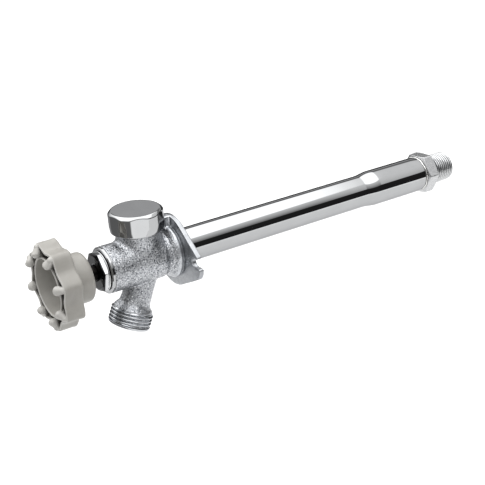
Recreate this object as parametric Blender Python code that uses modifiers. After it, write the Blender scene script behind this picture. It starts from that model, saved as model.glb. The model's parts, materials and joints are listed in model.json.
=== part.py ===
"""A frost-free, anti-siphon hose bib with its inner valve, stem and vacuum breaker.

The frame's origin is the centre of the flange's wall face, on the tube's axis. +Y runs through the wall
to the inlet, the handle is at -Y, and +Z is up. Lengths are in metres.
"""

import math

import bmesh
import bpy
from mathutils import Matrix

MM = 0.001
GAP = 0.3 * MM

# Tube through the wall, swelled at its inlet end
TUBE_OUTER = 11.1 * MM
TUBE_WALL = 0.9 * MM
TUBE_FRONT = -9.7 * MM
TUBE_BACK = 199.6 * MM
SWELL_OUTER = 12.3 * MM
SWELL_START = 146.5 * MM
SWELL_END = 159.0 * MM

# Front casting: barrel about the tube's axis, flange, boss and spout
BARREL_OUTER = 14.7 * MM
BARREL_FRONT = -51.0 * MM
COLLAR_BACK = -48.2 * MM
HUB_WAIST = 13.9 * MM
HUB_RING = 17.0 * MM
HUB_RING_FRONT = -5.3 * MM
HUB_RING_BACK = -4.1 * MM
FLANGE_THICK = 3.2 * MM
FLANGE_DISC = 23.0 * MM
FLANGE_EAR = 8.1 * MM
EAR_X = 25.6 * MM
EAR_TOP_Z = -0.4 * MM
EAR_LOW_Z = -3.8 * MM
SLOT_Z = 0.4 * MM
SLOT_WIDTH = 6.2 * MM
SLOT_ROOT_X = 25.2 * MM
CHAMBER = 9.5 * MM
CHAMBER_FRONT = -33.0 * MM
CHAMBER_BACK = -10.0 * MM
SOCKET = TUBE_OUTER + GAP
SCREW_BORE = 6.65 * MM
SLEEVE_OUTER = 8.3 * MM
SLEEVE_FRONT = -46.2 * MM
NUT_SOCKET = 10.6 * MM
NUT_SOCKET_BACK = -43.7 * MM

# Vacuum breaker boss, about a vertical axis
BOSS_Y = -24.7 * MM
BOSS_OUTER = 13.6 * MM
BOSS_NECK = 12.9 * MM
BOSS_STEP = 19.3 * MM
BOSS_TOP = 23.0 * MM
BOSS_BORE = 11.1 * MM
BOSS_FLOOR = 11.2 * MM
RISER = 6.0 * MM
RISER_COLUMN = 8.0 * MM
RISER_TOP = 13.0 * MM
BONNET_LOW = 20.6 * MM
JACKET_INNER = 10.9 * MM
JACKET_OUTER = 13.3 * MM
JACKET_HALF = 4.0 * MM
DROP_X = 9.6 * MM
DROP_RADIUS = 1.8 * MM

# Spout, measured along its own axis from the outlet end
SPOUT_TILT = math.radians(24.0)
OUTLET_Y = -37.8 * MM
OUTLET_Z = -40.7 * MM
HOSE_MAJOR = 13.45 * MM
HOSE_MINOR = 12.2 * MM
HOSE_PITCH = 2.209 * MM
HOSE_CRESTS = 4
HOSE_RIM = 1.5 * MM
OUTLET_BORE = 9.2 * MM
OUTLET_BORE_DEEP = 12.0 * MM
SPOUT_NECK = 9.3 * MM
SPOUT_BORE = 6.3 * MM

# Inlet fitting
HEX_FRONT = 201.2 * MM
HEX_BACK = 210.0 * MM
HEX_FLATS = 26.0 * MM
HEX_TURN = math.radians(4.0)
INLET_END = 228.2 * MM
PIPE_LARGE = 10.65 * MM
PIPE_TAPER = 1.0 / 32.0
PIPE_PITCH = 1.814 * MM
PIPE_DEPTH = 1.0 * MM
PIPE_CRESTS = 8
SPIGOT_OUTER = 11.05 * MM
SPIGOT_FRONT = 173.8 * MM
SEAT_FACE = 172.5 * MM
SEAT_BORE = 5.2 * MM
SEAT_RIM = 6.3 * MM
INLET_BORE = 8.0 * MM
INLET_BORE_DEPTH = 13.0 * MM

# Packing nut and what it squeezes
NUT_FLATS = 22.5 * MM
NUT_TURN = math.radians(12.5)
NUT_FRONT = -55.5 * MM
NUT_HEX_BACK = -52.1 * MM
NUT_COLLAR = 12.6 * MM
NUT_SHANK_OUTER = 10.3 * MM
NUT_SHANK_BACK = -44.0 * MM
NUT_CAVITY = 8.6 * MM
NUT_CAVITY_FRONT = -53.7 * MM
GLAND_THICK = 1.4 * MM
PACKING_WASHER_THICK = 1.0 * MM

# Stem
STEM_SMOOTH = 4.8 * MM
STEM_FRONT = -70.2 * MM
STEM_SQUARE = 7.4 * MM
STEM_SQUARE_BACK = -60.4 * MM
STEM_THREAD = 6.35 * MM
STEM_THREAD_ROOT = 5.3 * MM
STEM_PITCH = 2.54 * MM
STEM_THREAD_FRONT = -39.2 * MM
STEM_CRESTS = 4
STEM_BACK = -27.0 * MM
ROD = 3.2 * MM
ROD_FRONT = -37.5 * MM
PIN_Y = -34.5 * MM
PIN_RADIUS = 1.0 * MM
PIN_LENGTH = 9.6 * MM
HOLDER_FRONT = 155.0 * MM
HOLDER_BACK = 168.4 * MM
ROD_HEAD_FRONT = 158.6 * MM
ROD_HEAD_BACK = 161.6 * MM
WASHER_THICK = 3.5 * MM
GUIDE_FRONT = 118.0 * MM
GUIDE_LENGTH = 9.0 * MM

# Handle
HANDLE_FRONT = -88.0 * MM
SKIRT_BACK = -74.8 * MM
HUB_BACK = -61.8 * MM
HUB_RADIUS = 15.4 * MM
CUP_FLOOR = -70.5 * MM
CUP_RIM = 17.4 * MM
CUP_WALL = 1.2 * MM
CUP_BOTTOM = 14.0 * MM
LOBES = 8
LOBE_TURN = math.radians(16.0)
LOBE_TIP = 27.0 * MM
LOBE_VALLEY = 23.8 * MM
SKIRT_WALL = 1.9 * MM
BULB_RING = 21.7 * MM
BULB_RADIUS = 2.6 * MM
RIB_WIDTH = 2.6 * MM

# Cap over the vacuum breaker
CAP_BOTTOM = 19.9 * MM
CAP_TOP = 33.2 * MM
CAP_FACE = 14.8 * MM
CAP_SHOULDER = 16.9 * MM
CAP_SHOULDER_Z = 30.8 * MM
CAP_SKIRT = 15.5 * MM
CAP_FLATS = 32.2 * MM
CAP_INNER = 13.9 * MM

ROUND = 28
INNER_ROUND = 20
SMALL_ROUND = 16
ALONG_Y = (-math.pi / 2, 0.0, 0.0)
UPRIGHT = (0.0, 0.0, 0.0)


def clear_scene():
    for obj in list(bpy.data.objects):
        bpy.data.objects.remove(obj, do_unlink=True)


def make_collection(name):
    collection = bpy.data.collections.new(name)
    bpy.context.scene.collection.children.link(collection)
    return collection


clear_scene()
PARTS = make_collection("hose_bib")
CUTTERS = make_collection("cutters")
CUTTERS.hide_render = True


def make_material(name, colour, roughness, metallic):
    material = bpy.data.materials.new(name)
    material.use_nodes = True
    shader = material.node_tree.nodes["Principled BSDF"]
    shader.inputs["Base Color"].default_value = (*colour, 1.0)
    shader.inputs["Roughness"].default_value = roughness
    shader.inputs["Metallic"].default_value = metallic
    return material


def part(obj, colour, roughness, metallic):
    """Puts a finished piece in the object's collection with a material of its own."""
    PARTS.objects.link(obj)
    obj.data.materials.append(make_material(obj.name, colour, roughness, metallic))
    return obj


def helper(obj):
    """Puts a shape that only joins or cuts another one in the cutters' collection."""
    CUTTERS.objects.link(obj)
    obj.hide_render = True
    obj.display_type = "WIRE"
    return obj


def place(obj, location, rotation):
    obj.location = location
    obj.rotation_euler = rotation
    return obj


def turned(name, profile, steps=ROUND, location=(0, 0, 0), rotation=ALONG_Y):
    """A (radius, height) profile turned about the local Z axis, which ALONG_Y lays along world +Y."""
    ring = list(profile)
    area = sum(a[0] * b[1] - b[0] * a[1] for a, b in zip(ring, ring[1:] + ring[:1]))
    if area > 0:
        ring.reverse()
    starts_on_axis = ring[0][0] == 0 and ring[-1][0] == 0
    edges = [(i, i + 1) for i in range(len(ring) - 1)]
    if not starts_on_axis:
        edges.append((len(ring) - 1, 0))
    mesh = bpy.data.meshes.new(name)
    mesh.from_pydata([(radius, 0, height) for radius, height in ring], edges, [])
    obj = bpy.data.objects.new(name, mesh)
    screw = obj.modifiers.new("turn", "SCREW")
    screw.axis = "Z"
    screw.angle = 2 * math.pi
    screw.steps = steps
    screw.render_steps = steps
    screw.use_merge_vertices = True
    screw.merge_threshold = 0.00001
    screw.use_smooth_shade = True
    return place(obj, location, rotation)


def rod_shape(name, radius, low, high, steps=INNER_ROUND, location=(0, 0, 0), rotation=ALONG_Y):
    profile = [(0, low), (radius, low), (radius, high), (0, high)]
    return turned(name, profile, steps, location, rotation)


def ring_shape(name, inner, outer, low, high, steps=INNER_ROUND, location=(0, 0, 0), rotation=ALONG_Y):
    profile = [(inner, low), (outer, low), (outer, high), (inner, high)]
    return turned(name, profile, steps, location, rotation)


def box(name, size, location, turn=None):
    mesh = bpy.data.meshes.new(name)
    bm = bmesh.new()
    bmesh.ops.create_cube(bm, size=1.0, matrix=Matrix.Diagonal((*size, 1.0)))
    bm.to_mesh(mesh)
    bm.free()
    obj = bpy.data.objects.new(name, mesh)
    return place(obj, location, turn or UPRIGHT)


def hexagon(name, across_flats, low, high, turn, chamfer):
    """A hexagonal prism along Y, one corner at the angle turn, its corners turned down at both ends."""
    corner = across_flats / math.sqrt(3)
    mesh = bpy.data.meshes.new(name)
    bm = bmesh.new()
    bmesh.ops.create_cone(
        bm, cap_ends=True, segments=6, radius1=corner, radius2=corner, depth=high - low,
        matrix=Matrix.Rotation(-math.pi / 2, 4, "X") @ Matrix.Rotation(math.pi / 6 - turn, 4, "Z"),
    )
    bmesh.ops.translate(bm, vec=(0, (low + high) / 2, 0), verts=bm.verts)
    bm.to_mesh(mesh)
    bm.free()
    obj = bpy.data.objects.new(name, mesh)
    flat = across_flats / 2
    full = corner - 0.2 * MM
    turned_down = turned(
        name + "_corner_tool",
        [(0, low), (flat, low), (full, low + chamfer), (full, high - chamfer), (flat, high), (0, high)],
    )
    return combine(obj, helper(turned_down), "INTERSECT")


def combine(obj, other, operation):
    modifier = obj.modifiers.new(operation.lower() + "_" + other.name, "BOOLEAN")
    modifier.operation = operation
    modifier.solver = "EXACT"
    modifier.object = other
    return obj


def add(obj, *others):
    for other in others:
        combine(obj, helper(other), "UNION")
    return obj


def cut(obj, *others):
    for other in others:
        combine(obj, helper(other), "DIFFERENCE")
    return obj


def flat_outline(name, outlines, low, high):
    """Closed outlines of (x, z) points, filled and extruded along Y from low to high, as a mesh."""
    curve = bpy.data.curves.new(name, "CURVE")
    curve.dimensions = "2D"
    curve.fill_mode = "BOTH"
    curve.extrude = (high - low) / 2
    for outline in outlines:
        spline = curve.splines.new("POLY")
        spline.points.add(len(outline) - 1)
        for point, (x, z) in zip(spline.points, outline):
            point.co = (x, -z, 0, 1)
        spline.use_cyclic_u = True
    flat = bpy.data.objects.new(name + "_outline", curve)
    place(flat, (0, (low + high) / 2, 0), ALONG_Y)
    CUTTERS.objects.link(flat)
    bpy.context.view_layer.update()
    graph = bpy.context.evaluated_depsgraph_get()
    mesh = bpy.data.meshes.new_from_object(flat.evaluated_get(graph))
    bm = bmesh.new()
    bm.from_mesh(mesh)
    bmesh.ops.remove_doubles(bm, verts=bm.verts, dist=0.00001)
    bmesh.ops.recalc_face_normals(bm, faces=bm.faces)
    bm.to_mesh(mesh)
    bm.free()
    obj = bpy.data.objects.new(name, mesh)
    obj.matrix_world = flat.matrix_world.copy()
    bpy.data.objects.remove(flat, do_unlink=True)
    return obj


def ridged(crests, pitch, start, crest_at, root_at):
    """Profile points of thread crests from start onwards; the radii are functions of the height."""
    points = []
    for crest in range(crests):
        low = start + crest * pitch
        points.append((root_at(low), low))
        points.append((crest_at(low + pitch / 2), low + pitch / 2))
    end = start + crests * pitch
    return points + [(root_at(end), end)]


def arc(centre, radius, start, end, count):
    """Points of an arc in the flange's plane; angles in degrees from +X towards +Z."""
    step = (end - start) / (count - 1)
    angles = [math.radians(start + step * i) for i in range(count)]
    return [(centre[0] + radius * math.cos(a), centre[1] + radius * math.sin(a)) for a in angles]


def taut_line(points):
    """The convex outline round the points, as a taut cord would lie."""
    def side(points):
        chain = []
        for p in points:
            while len(chain) > 1 and turn_of(chain[-2], chain[-1], p) <= 0:
                chain.pop()
            chain.append(p)
        return chain[:-1]

    def turn_of(a, b, c):
        return (b[0] - a[0]) * (c[1] - a[1]) - (b[1] - a[1]) * (c[0] - a[0])

    ordered = sorted(points)
    return side(ordered) + side(ordered[::-1])


def flange_outline():
    """A disc and two ears on each side, one a little below the other, inside one taut line."""
    points = arc((0, 0), FLANGE_DISC, 42, 138, 11) + arc((0, 0), FLANGE_DISC, 222, 318, 11)
    for side in (-1, 1):
        for z in (EAR_TOP_Z, EAR_LOW_Z):
            points += arc((side * EAR_X, z), FLANGE_EAR, 0, 337.5, 16)
    return taut_line(points)


def slot_outline(side):
    """A screw slot that runs out of the ear, with a round root."""
    half = SLOT_WIDTH / 2
    out_x = EAR_X + 2 * FLANGE_EAR
    root = arc((SLOT_ROOT_X + half, SLOT_Z), half, 90, 270, 9)
    outline = root + [(out_x, SLOT_Z - half), (out_x, SLOT_Z + half)]
    return [(side * x, z) for x, z in outline]


def spout_profile():
    """From the outlet end inwards: hose thread, shoulder, neck into the barrel."""
    thread = ridged(HOSE_CRESTS, HOSE_PITCH, HOSE_RIM, lambda h: HOSE_MAJOR, lambda h: HOSE_MINOR)
    run_out = HOSE_RIM + HOSE_CRESTS * HOSE_PITCH
    neck = [
        (HOSE_MINOR, run_out + 0.8 * MM),
        (SPOUT_NECK, run_out + 4.0 * MM),
        (SPOUT_NECK, 36.0 * MM),
        (0, 36.0 * MM),
    ]
    return [(0, 0), (HOSE_MAJOR - 0.4 * MM, 0), (HOSE_MAJOR - 0.2 * MM, HOSE_RIM - 0.4 * MM)] + thread + neck


def body_casting():
    barrel = turned("body_casting", [
        (0, BARREL_FRONT), (BARREL_OUTER - 0.5 * MM, BARREL_FRONT),
        (BARREL_OUTER, BARREL_FRONT + 0.5 * MM), (BARREL_OUTER, COLLAR_BACK),
        (BARREL_OUTER - 0.4 * MM, COLLAR_BACK + 0.4 * MM), (BARREL_OUTER, COLLAR_BACK + 1.0 * MM),
        (BARREL_OUTER, -14.0 * MM), (HUB_WAIST, -11.0 * MM), (HUB_WAIST, -9.0 * MM),
        (HUB_RING - 0.8 * MM, HUB_RING_FRONT - 1.2 * MM), (HUB_RING, HUB_RING_FRONT),
        (HUB_RING, HUB_RING_BACK), (HUB_RING - 1.2 * MM, HUB_RING_BACK + 0.6 * MM),
        (HUB_RING - 1.2 * MM, -FLANGE_THICK / 2), (0, -FLANGE_THICK / 2),
    ])
    flange = flat_outline("flange_tool", [flange_outline()], -FLANGE_THICK, 0)
    boss = turned("boss_tool", [
        (0, 2 * MM), (BOSS_OUTER, 2 * MM), (BOSS_OUTER, BOSS_STEP), (BOSS_NECK, BOSS_STEP + 0.5 * MM),
        (BOSS_NECK, BOSS_TOP), (0, BOSS_TOP),
    ], location=(0, BOSS_Y, 0), rotation=UPRIGHT)
    spout = turned("spout_tool", spout_profile(), location=(0, OUTLET_Y, OUTLET_Z),
                   rotation=(-SPOUT_TILT, 0, 0))
    rib = box("rib_tool", (4.6 * MM, 5.6 * MM, 12.0 * MM), (0, -4.8 * MM, 17.0 * MM))
    add(barrel, flange, boss, spout, rib)

    cut(
        barrel,
        turned("bore_tool", [
            (0, BARREL_FRONT - 2 * MM), (NUT_SOCKET, BARREL_FRONT - 2 * MM),
            (NUT_SOCKET, NUT_SOCKET_BACK), (SLEEVE_OUTER, NUT_SOCKET_BACK),
            (SLEEVE_OUTER, SLEEVE_FRONT), (SCREW_BORE, SLEEVE_FRONT), (SCREW_BORE, CHAMBER_FRONT),
            (CHAMBER, CHAMBER_FRONT), (CHAMBER, CHAMBER_BACK), (SOCKET, CHAMBER_BACK),
            (SOCKET, -1.8 * MM), (SOCKET + 1.4 * MM, -1.8 * MM), (SOCKET + 1.4 * MM, 2 * MM),
            (0, 2 * MM),
        ], INNER_ROUND),
        turned("boss_bore_tool", [
            (0, 4 * MM), (RISER, 4 * MM), (RISER, RISER_TOP), (RISER_COLUMN, RISER_TOP),
            (RISER_COLUMN, BOSS_FLOOR), (BOSS_BORE, BOSS_FLOOR), (BOSS_BORE, 30 * MM), (0, 30 * MM),
        ], INNER_ROUND, location=(0, BOSS_Y, 0), rotation=UPRIGHT),
        jacket(),
        turned("spout_bore_tool", [
            (0, -2 * MM), (OUTLET_BORE, -2 * MM), (OUTLET_BORE, OUTLET_BORE_DEEP),
            (SPOUT_BORE, OUTLET_BORE_DEEP + 1.5 * MM), (SPOUT_BORE, 29.2 * MM), (0, 29.2 * MM),
        ], SMALL_ROUND, (0, OUTLET_Y, OUTLET_Z), (-SPOUT_TILT, 0, 0)),
    )
    for side in (-1, 1):
        drop = rod_shape(f"drop_tool_{side}", DROP_RADIUS, 7.4 * MM, BOSS_FLOOR + 0.4 * MM, 12,
                         (side * DROP_X, BOSS_Y, 0), UPRIGHT)
        slot = flat_outline(f"slot_tool_{side}", [slot_outline(side)], -8 * MM, 4 * MM)
        cut(barrel, drop, slot)
    return part(barrel, (0.62, 0.65, 0.70), 0.32, 1.0)


def jacket():
    """The water's way round the chamber, from the boss's floor down both sides to the spout."""
    ring = ring_shape("jacket_tool", JACKET_INNER, JACKET_OUTER,
                      BOSS_Y - JACKET_HALF, BOSS_Y + JACKET_HALF)
    column = rod_shape("jacket_column_tool", RISER_COLUMN + GAP, 0, 20 * MM,
                       location=(0, BOSS_Y, 0), rotation=UPRIGHT)
    return cut(ring, column)


def tube():
    swell_step = SWELL_OUTER - TUBE_OUTER
    outside = [(TUBE_OUTER, TUBE_FRONT), (TUBE_OUTER, SWELL_START)]
    for share in (0.25, 0.5, 0.75, 1.0):
        rise = (1 - math.cos(math.pi * share)) / 2
        outside.append((TUBE_OUTER + swell_step * rise, SWELL_START + (SWELL_END - SWELL_START) * share))
    outside.append((SWELL_OUTER, TUBE_BACK - 0.6 * MM))
    end = [(SWELL_OUTER - 0.4 * MM, TUBE_BACK), (SWELL_OUTER - TUBE_WALL, TUBE_BACK)]
    inside = [(radius - TUBE_WALL, height) for radius, height in reversed(outside[:-1])]
    obj = turned("tube", outside + end + inside)
    return part(obj, (0.75, 0.76, 0.78), 0.08, 1.0)


def inlet_fitting():
    def crest(height):
        return PIPE_LARGE - (height - HEX_BACK) * PIPE_TAPER

    def root(height):
        return crest(height) - PIPE_DEPTH

    thread_start = INLET_END - (PIPE_CRESTS + 0.2) * PIPE_PITCH
    barrel = turned("inlet_fitting", [
        (SEAT_BORE, SEAT_FACE), (SEAT_RIM, SEAT_FACE), (SEAT_RIM + 0.6 * MM, SPIGOT_FRONT),
        (SPIGOT_OUTER - 0.6 * MM, SPIGOT_FRONT), (SPIGOT_OUTER, SPIGOT_FRONT + 0.6 * MM),
        (SPIGOT_OUTER, HEX_FRONT + 0.5 * MM), (SPIGOT_OUTER, HEX_BACK - 0.5 * MM),
        (root(HEX_BACK), HEX_BACK - 0.4 * MM), (root(thread_start), thread_start),
        *ridged(PIPE_CRESTS, PIPE_PITCH, thread_start, crest, root)[1:],
        (root(INLET_END), INLET_END), (INLET_BORE, INLET_END),
        (INLET_BORE, INLET_END - INLET_BORE_DEPTH), (SEAT_BORE + 1.2 * MM, INLET_END - INLET_BORE_DEPTH),
        (SEAT_BORE + 1.2 * MM, SPIGOT_FRONT + 12 * MM), (SEAT_BORE, SPIGOT_FRONT + 9 * MM),
    ], 24)
    nut = hexagon("inlet_hex_tool", HEX_FLATS, HEX_FRONT, HEX_BACK, HEX_TURN, 0.9 * MM)
    cut(nut, rod_shape("inlet_hex_bore_tool", SPIGOT_OUTER - 1.5 * MM,
                       HEX_FRONT - 2 * MM, HEX_BACK + 2 * MM))
    return part(add(barrel, nut), (0.74, 0.75, 0.77), 0.16, 1.0)


def braze_rings():
    inlet = turned("inlet_braze_ring", [
        (SPIGOT_OUTER + GAP, TUBE_BACK + GAP), (SWELL_OUTER - 0.1 * MM, TUBE_BACK + GAP),
        (SWELL_OUTER + 0.1 * MM, HEX_FRONT - GAP - 0.3 * MM), (SWELL_OUTER - 0.3 * MM, HEX_FRONT - GAP),
        (SPIGOT_OUTER + GAP, HEX_FRONT - GAP),
    ])
    part(inlet, (0.80, 0.80, 0.80), 0.2, 1.0)
    flange = turned("flange_braze_ring", [
        (SOCKET, -1.5 * MM), (SOCKET + 1.1 * MM, -1.5 * MM), (SOCKET + 1.1 * MM, -0.8 * MM),
        (SOCKET + 0.4 * MM, -0.3 * MM), (SOCKET, -0.3 * MM),
    ], 24)
    part(flange, (0.70, 0.70, 0.68), 0.35, 1.0)


def packing_nut():
    shank = turned("packing_nut", [
        (STEM_SMOOTH + GAP, NUT_FRONT), (NUT_CAVITY + 1.2 * MM, NUT_FRONT),
        (NUT_CAVITY + 1.2 * MM, NUT_HEX_BACK - 0.4 * MM), (NUT_COLLAR, NUT_HEX_BACK - 0.4 * MM),
        (NUT_COLLAR, BARREL_FRONT - GAP), (NUT_SHANK_OUTER, BARREL_FRONT - GAP),
        (NUT_SHANK_OUTER, NUT_SHANK_BACK), (NUT_CAVITY, NUT_SHANK_BACK),
        (NUT_CAVITY, NUT_CAVITY_FRONT), (STEM_SMOOTH + GAP, NUT_CAVITY_FRONT),
    ])
    head = hexagon("nut_hex_tool", NUT_FLATS, NUT_FRONT + 0.2 * MM, NUT_HEX_BACK, NUT_TURN, 0.9 * MM)
    cut(head, turned("nut_hex_bore_tool", [
        (0, NUT_FRONT - 2 * MM), (STEM_SMOOTH + 1.4 * MM, NUT_FRONT - 2 * MM),
        (STEM_SMOOTH + 1.4 * MM, NUT_CAVITY_FRONT - 0.5 * MM),
        (NUT_CAVITY + 0.6 * MM, NUT_CAVITY_FRONT - 0.5 * MM),
        (NUT_CAVITY + 0.6 * MM, NUT_HEX_BACK + 2 * MM), (0, NUT_HEX_BACK + 2 * MM),
    ]))
    return part(add(shank, head), (0.74, 0.75, 0.77), 0.12, 1.0)


def packing_stack():
    inner = STEM_SMOOTH + GAP
    outer = NUT_CAVITY - GAP
    front = NUT_CAVITY_FRONT + GAP
    gland = ring_shape("packing_gland", inner, outer, front, front + GLAND_THICK)
    part(gland, (0.70, 0.55, 0.28), 0.3, 1.0)
    packing_front = front + GLAND_THICK + GAP
    washer_front = SLEEVE_FRONT - GAP - PACKING_WASHER_THICK
    packing = turned("stem_packing", [
        (inner, packing_front), (outer, packing_front), (outer, washer_front - GAP - 0.9 * MM),
        (outer - 1.0 * MM, washer_front - GAP), (inner, washer_front - GAP),
    ], INNER_ROUND)
    part(packing, (0.06, 0.06, 0.07), 0.6, 0.0)
    washer = ring_shape("packing_washer", inner, outer, washer_front, washer_front + PACKING_WASHER_THICK)
    part(washer, (0.70, 0.55, 0.28), 0.3, 1.0)


def stem_screw():
    thread = ridged(STEM_CRESTS, STEM_PITCH, STEM_THREAD_FRONT,
                    lambda h: STEM_THREAD, lambda h: STEM_THREAD_ROOT)
    back_bore = ROD + GAP
    stem = turned("stem_screw", [
        (0, STEM_SQUARE_BACK - 1.0 * MM), (STEM_SMOOTH - 0.5 * MM, STEM_SQUARE_BACK - 1.0 * MM),
        (STEM_SMOOTH, STEM_SQUARE_BACK - 0.5 * MM), (STEM_SMOOTH, STEM_THREAD_FRONT - 0.5 * MM),
        *thread, (STEM_THREAD_ROOT, STEM_BACK), (back_bore, STEM_BACK),
        (back_bore, ROD_FRONT - GAP), (0, ROD_FRONT - GAP),
    ], SMALL_ROUND)
    square_length = STEM_SQUARE_BACK - STEM_FRONT
    square = box("square_tool", (STEM_SQUARE, square_length, STEM_SQUARE),
                 (0, STEM_FRONT + square_length / 2, 0))
    turned_square = rod_shape("square_corner_tool", STEM_SMOOTH - 0.15 * MM,
                              STEM_FRONT - MM, STEM_SQUARE_BACK + MM)
    combine(square, helper(turned_square), "INTERSECT")
    add(stem, square)
    cut(
        stem,
        rod_shape("screw_hole_tool", 2.3 * MM, STEM_FRONT - 2 * MM, -58.0 * MM, 16),
        rod_shape("stem_pin_hole_tool", PIN_RADIUS + GAP, -9 * MM, 9 * MM, 12, (0, PIN_Y, 0), UPRIGHT),
    )
    return part(stem, (0.72, 0.56, 0.28), 0.28, 1.0)


def stem_rod():
    rod = turned("stem_rod", [
        (0, ROD_FRONT), (ROD - 0.4 * MM, ROD_FRONT), (ROD, ROD_FRONT + 0.4 * MM), (ROD, ROD_HEAD_FRONT),
        (ROD + 1.4 * MM, ROD_HEAD_FRONT + 0.4 * MM), (ROD + 1.4 * MM, ROD_HEAD_BACK), (0, ROD_HEAD_BACK),
    ], SMALL_ROUND)
    hole = rod_shape("rod_pin_hole_tool", PIN_RADIUS + GAP, -6 * MM, 6 * MM, 12, (0, PIN_Y, 0), UPRIGHT)
    return part(cut(rod, hole), (0.72, 0.56, 0.28), 0.3, 1.0)


def coupling_pin():
    half = PIN_LENGTH / 2
    pin = turned("coupling_pin", [
        (0, -half), (PIN_RADIUS - 0.2 * MM, -half), (PIN_RADIUS, -half + 0.3 * MM),
        (PIN_RADIUS, half - 0.3 * MM), (PIN_RADIUS - 0.2 * MM, half), (0, half),
    ], steps=12, location=(0, PIN_Y, 0), rotation=UPRIGHT)
    return part(pin, (0.60, 0.60, 0.62), 0.25, 1.0)


def stem_guide():
    """A ring on the rod with three wings that run in the tube and let the water past."""
    back = GUIDE_FRONT + GUIDE_LENGTH
    reach = TUBE_OUTER - TUBE_WALL - 0.5 * MM
    guide = rod_shape("stem_guide", 5.4 * MM, GUIDE_FRONT, back, 24)
    for i in range(3):
        angle = 2 * math.pi * i / 3 + math.pi / 2
        middle = (reach + 3 * MM) / 2
        wing = box(f"wing_tool_{i}", (reach - 3 * MM, GUIDE_LENGTH - 1.6 * MM, 2.6 * MM),
                   (middle * math.cos(angle), (GUIDE_FRONT + back) / 2, middle * math.sin(angle)),
                   (0, -angle, 0))
        add(guide, wing)
    cut(guide, rod_shape("guide_bore_tool", ROD + GAP, GUIDE_FRONT - MM, back + MM, 16))
    return part(guide, (0.85, 0.85, 0.82), 0.5, 0.0)


def seat_valve():
    socket = ROD + 1.4 * MM + GAP
    throat = ROD + GAP
    holder = turned("washer_holder", [
        (throat, HOLDER_FRONT), (6.0 * MM, HOLDER_FRONT), (7.0 * MM, HOLDER_FRONT + 1.0 * MM),
        (7.0 * MM, HOLDER_BACK - 3.0 * MM), (8.4 * MM, HOLDER_BACK - 2.2 * MM),
        (8.4 * MM, HOLDER_BACK + 1.6 * MM), (7.8 * MM, HOLDER_BACK + 1.6 * MM), (7.8 * MM, HOLDER_BACK),
        (2.5 * MM, HOLDER_BACK), (2.5 * MM, HOLDER_BACK - 5.0 * MM), (0, HOLDER_BACK - 5.0 * MM),
        (0, ROD_HEAD_BACK + GAP), (socket, ROD_HEAD_BACK + GAP), (socket, ROD_HEAD_FRONT + 0.1 * MM),
        (throat, ROD_HEAD_FRONT - GAP),
    ], INNER_ROUND)
    part(holder, (0.72, 0.56, 0.28), 0.28, 1.0)
    front = HOLDER_BACK + GAP
    back = front + WASHER_THICK
    washer = turned("seat_washer", [
        (2.6 * MM, front), (7.4 * MM, front), (7.4 * MM, back - 0.6 * MM), (6.9 * MM, back),
        (2.6 * MM, back),
    ], INNER_ROUND)
    part(washer, (0.03, 0.03, 0.03), 0.55, 0.0)
    screw_head = back + GAP
    screw = turned("washer_screw", [
        (0, HOLDER_BACK - 4.4 * MM), (1.8 * MM, HOLDER_BACK - 4.4 * MM), (2.2 * MM, HOLDER_BACK - 4.0 * MM),
        (2.2 * MM, screw_head), (4.2 * MM, screw_head), (4.2 * MM, screw_head + 0.9 * MM),
        (3.0 * MM, screw_head + 1.8 * MM), (0, screw_head + 1.8 * MM),
    ], SMALL_ROUND)
    slot = box("washer_screw_slot_tool", (10 * MM, 1.4 * MM, 1.0 * MM), (0, screw_head + 1.8 * MM, 0))
    part(cut(screw, slot), (0.72, 0.56, 0.28), 0.28, 1.0)


def lobed(offset, count=56):
    """The skirt's outline, moved inwards by offset: eight rounded lobes with hollow panels between."""
    outline = []
    for i in range(count):
        angle = 2 * math.pi * i / count
        swing = (1 + math.cos(LOBES * (angle - LOBE_TURN))) / 2
        radius = LOBE_VALLEY + (LOBE_TIP - LOBE_VALLEY) * swing ** 0.9 - offset
        outline.append((radius * math.cos(angle), radius * math.sin(angle)))
    return outline


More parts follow.
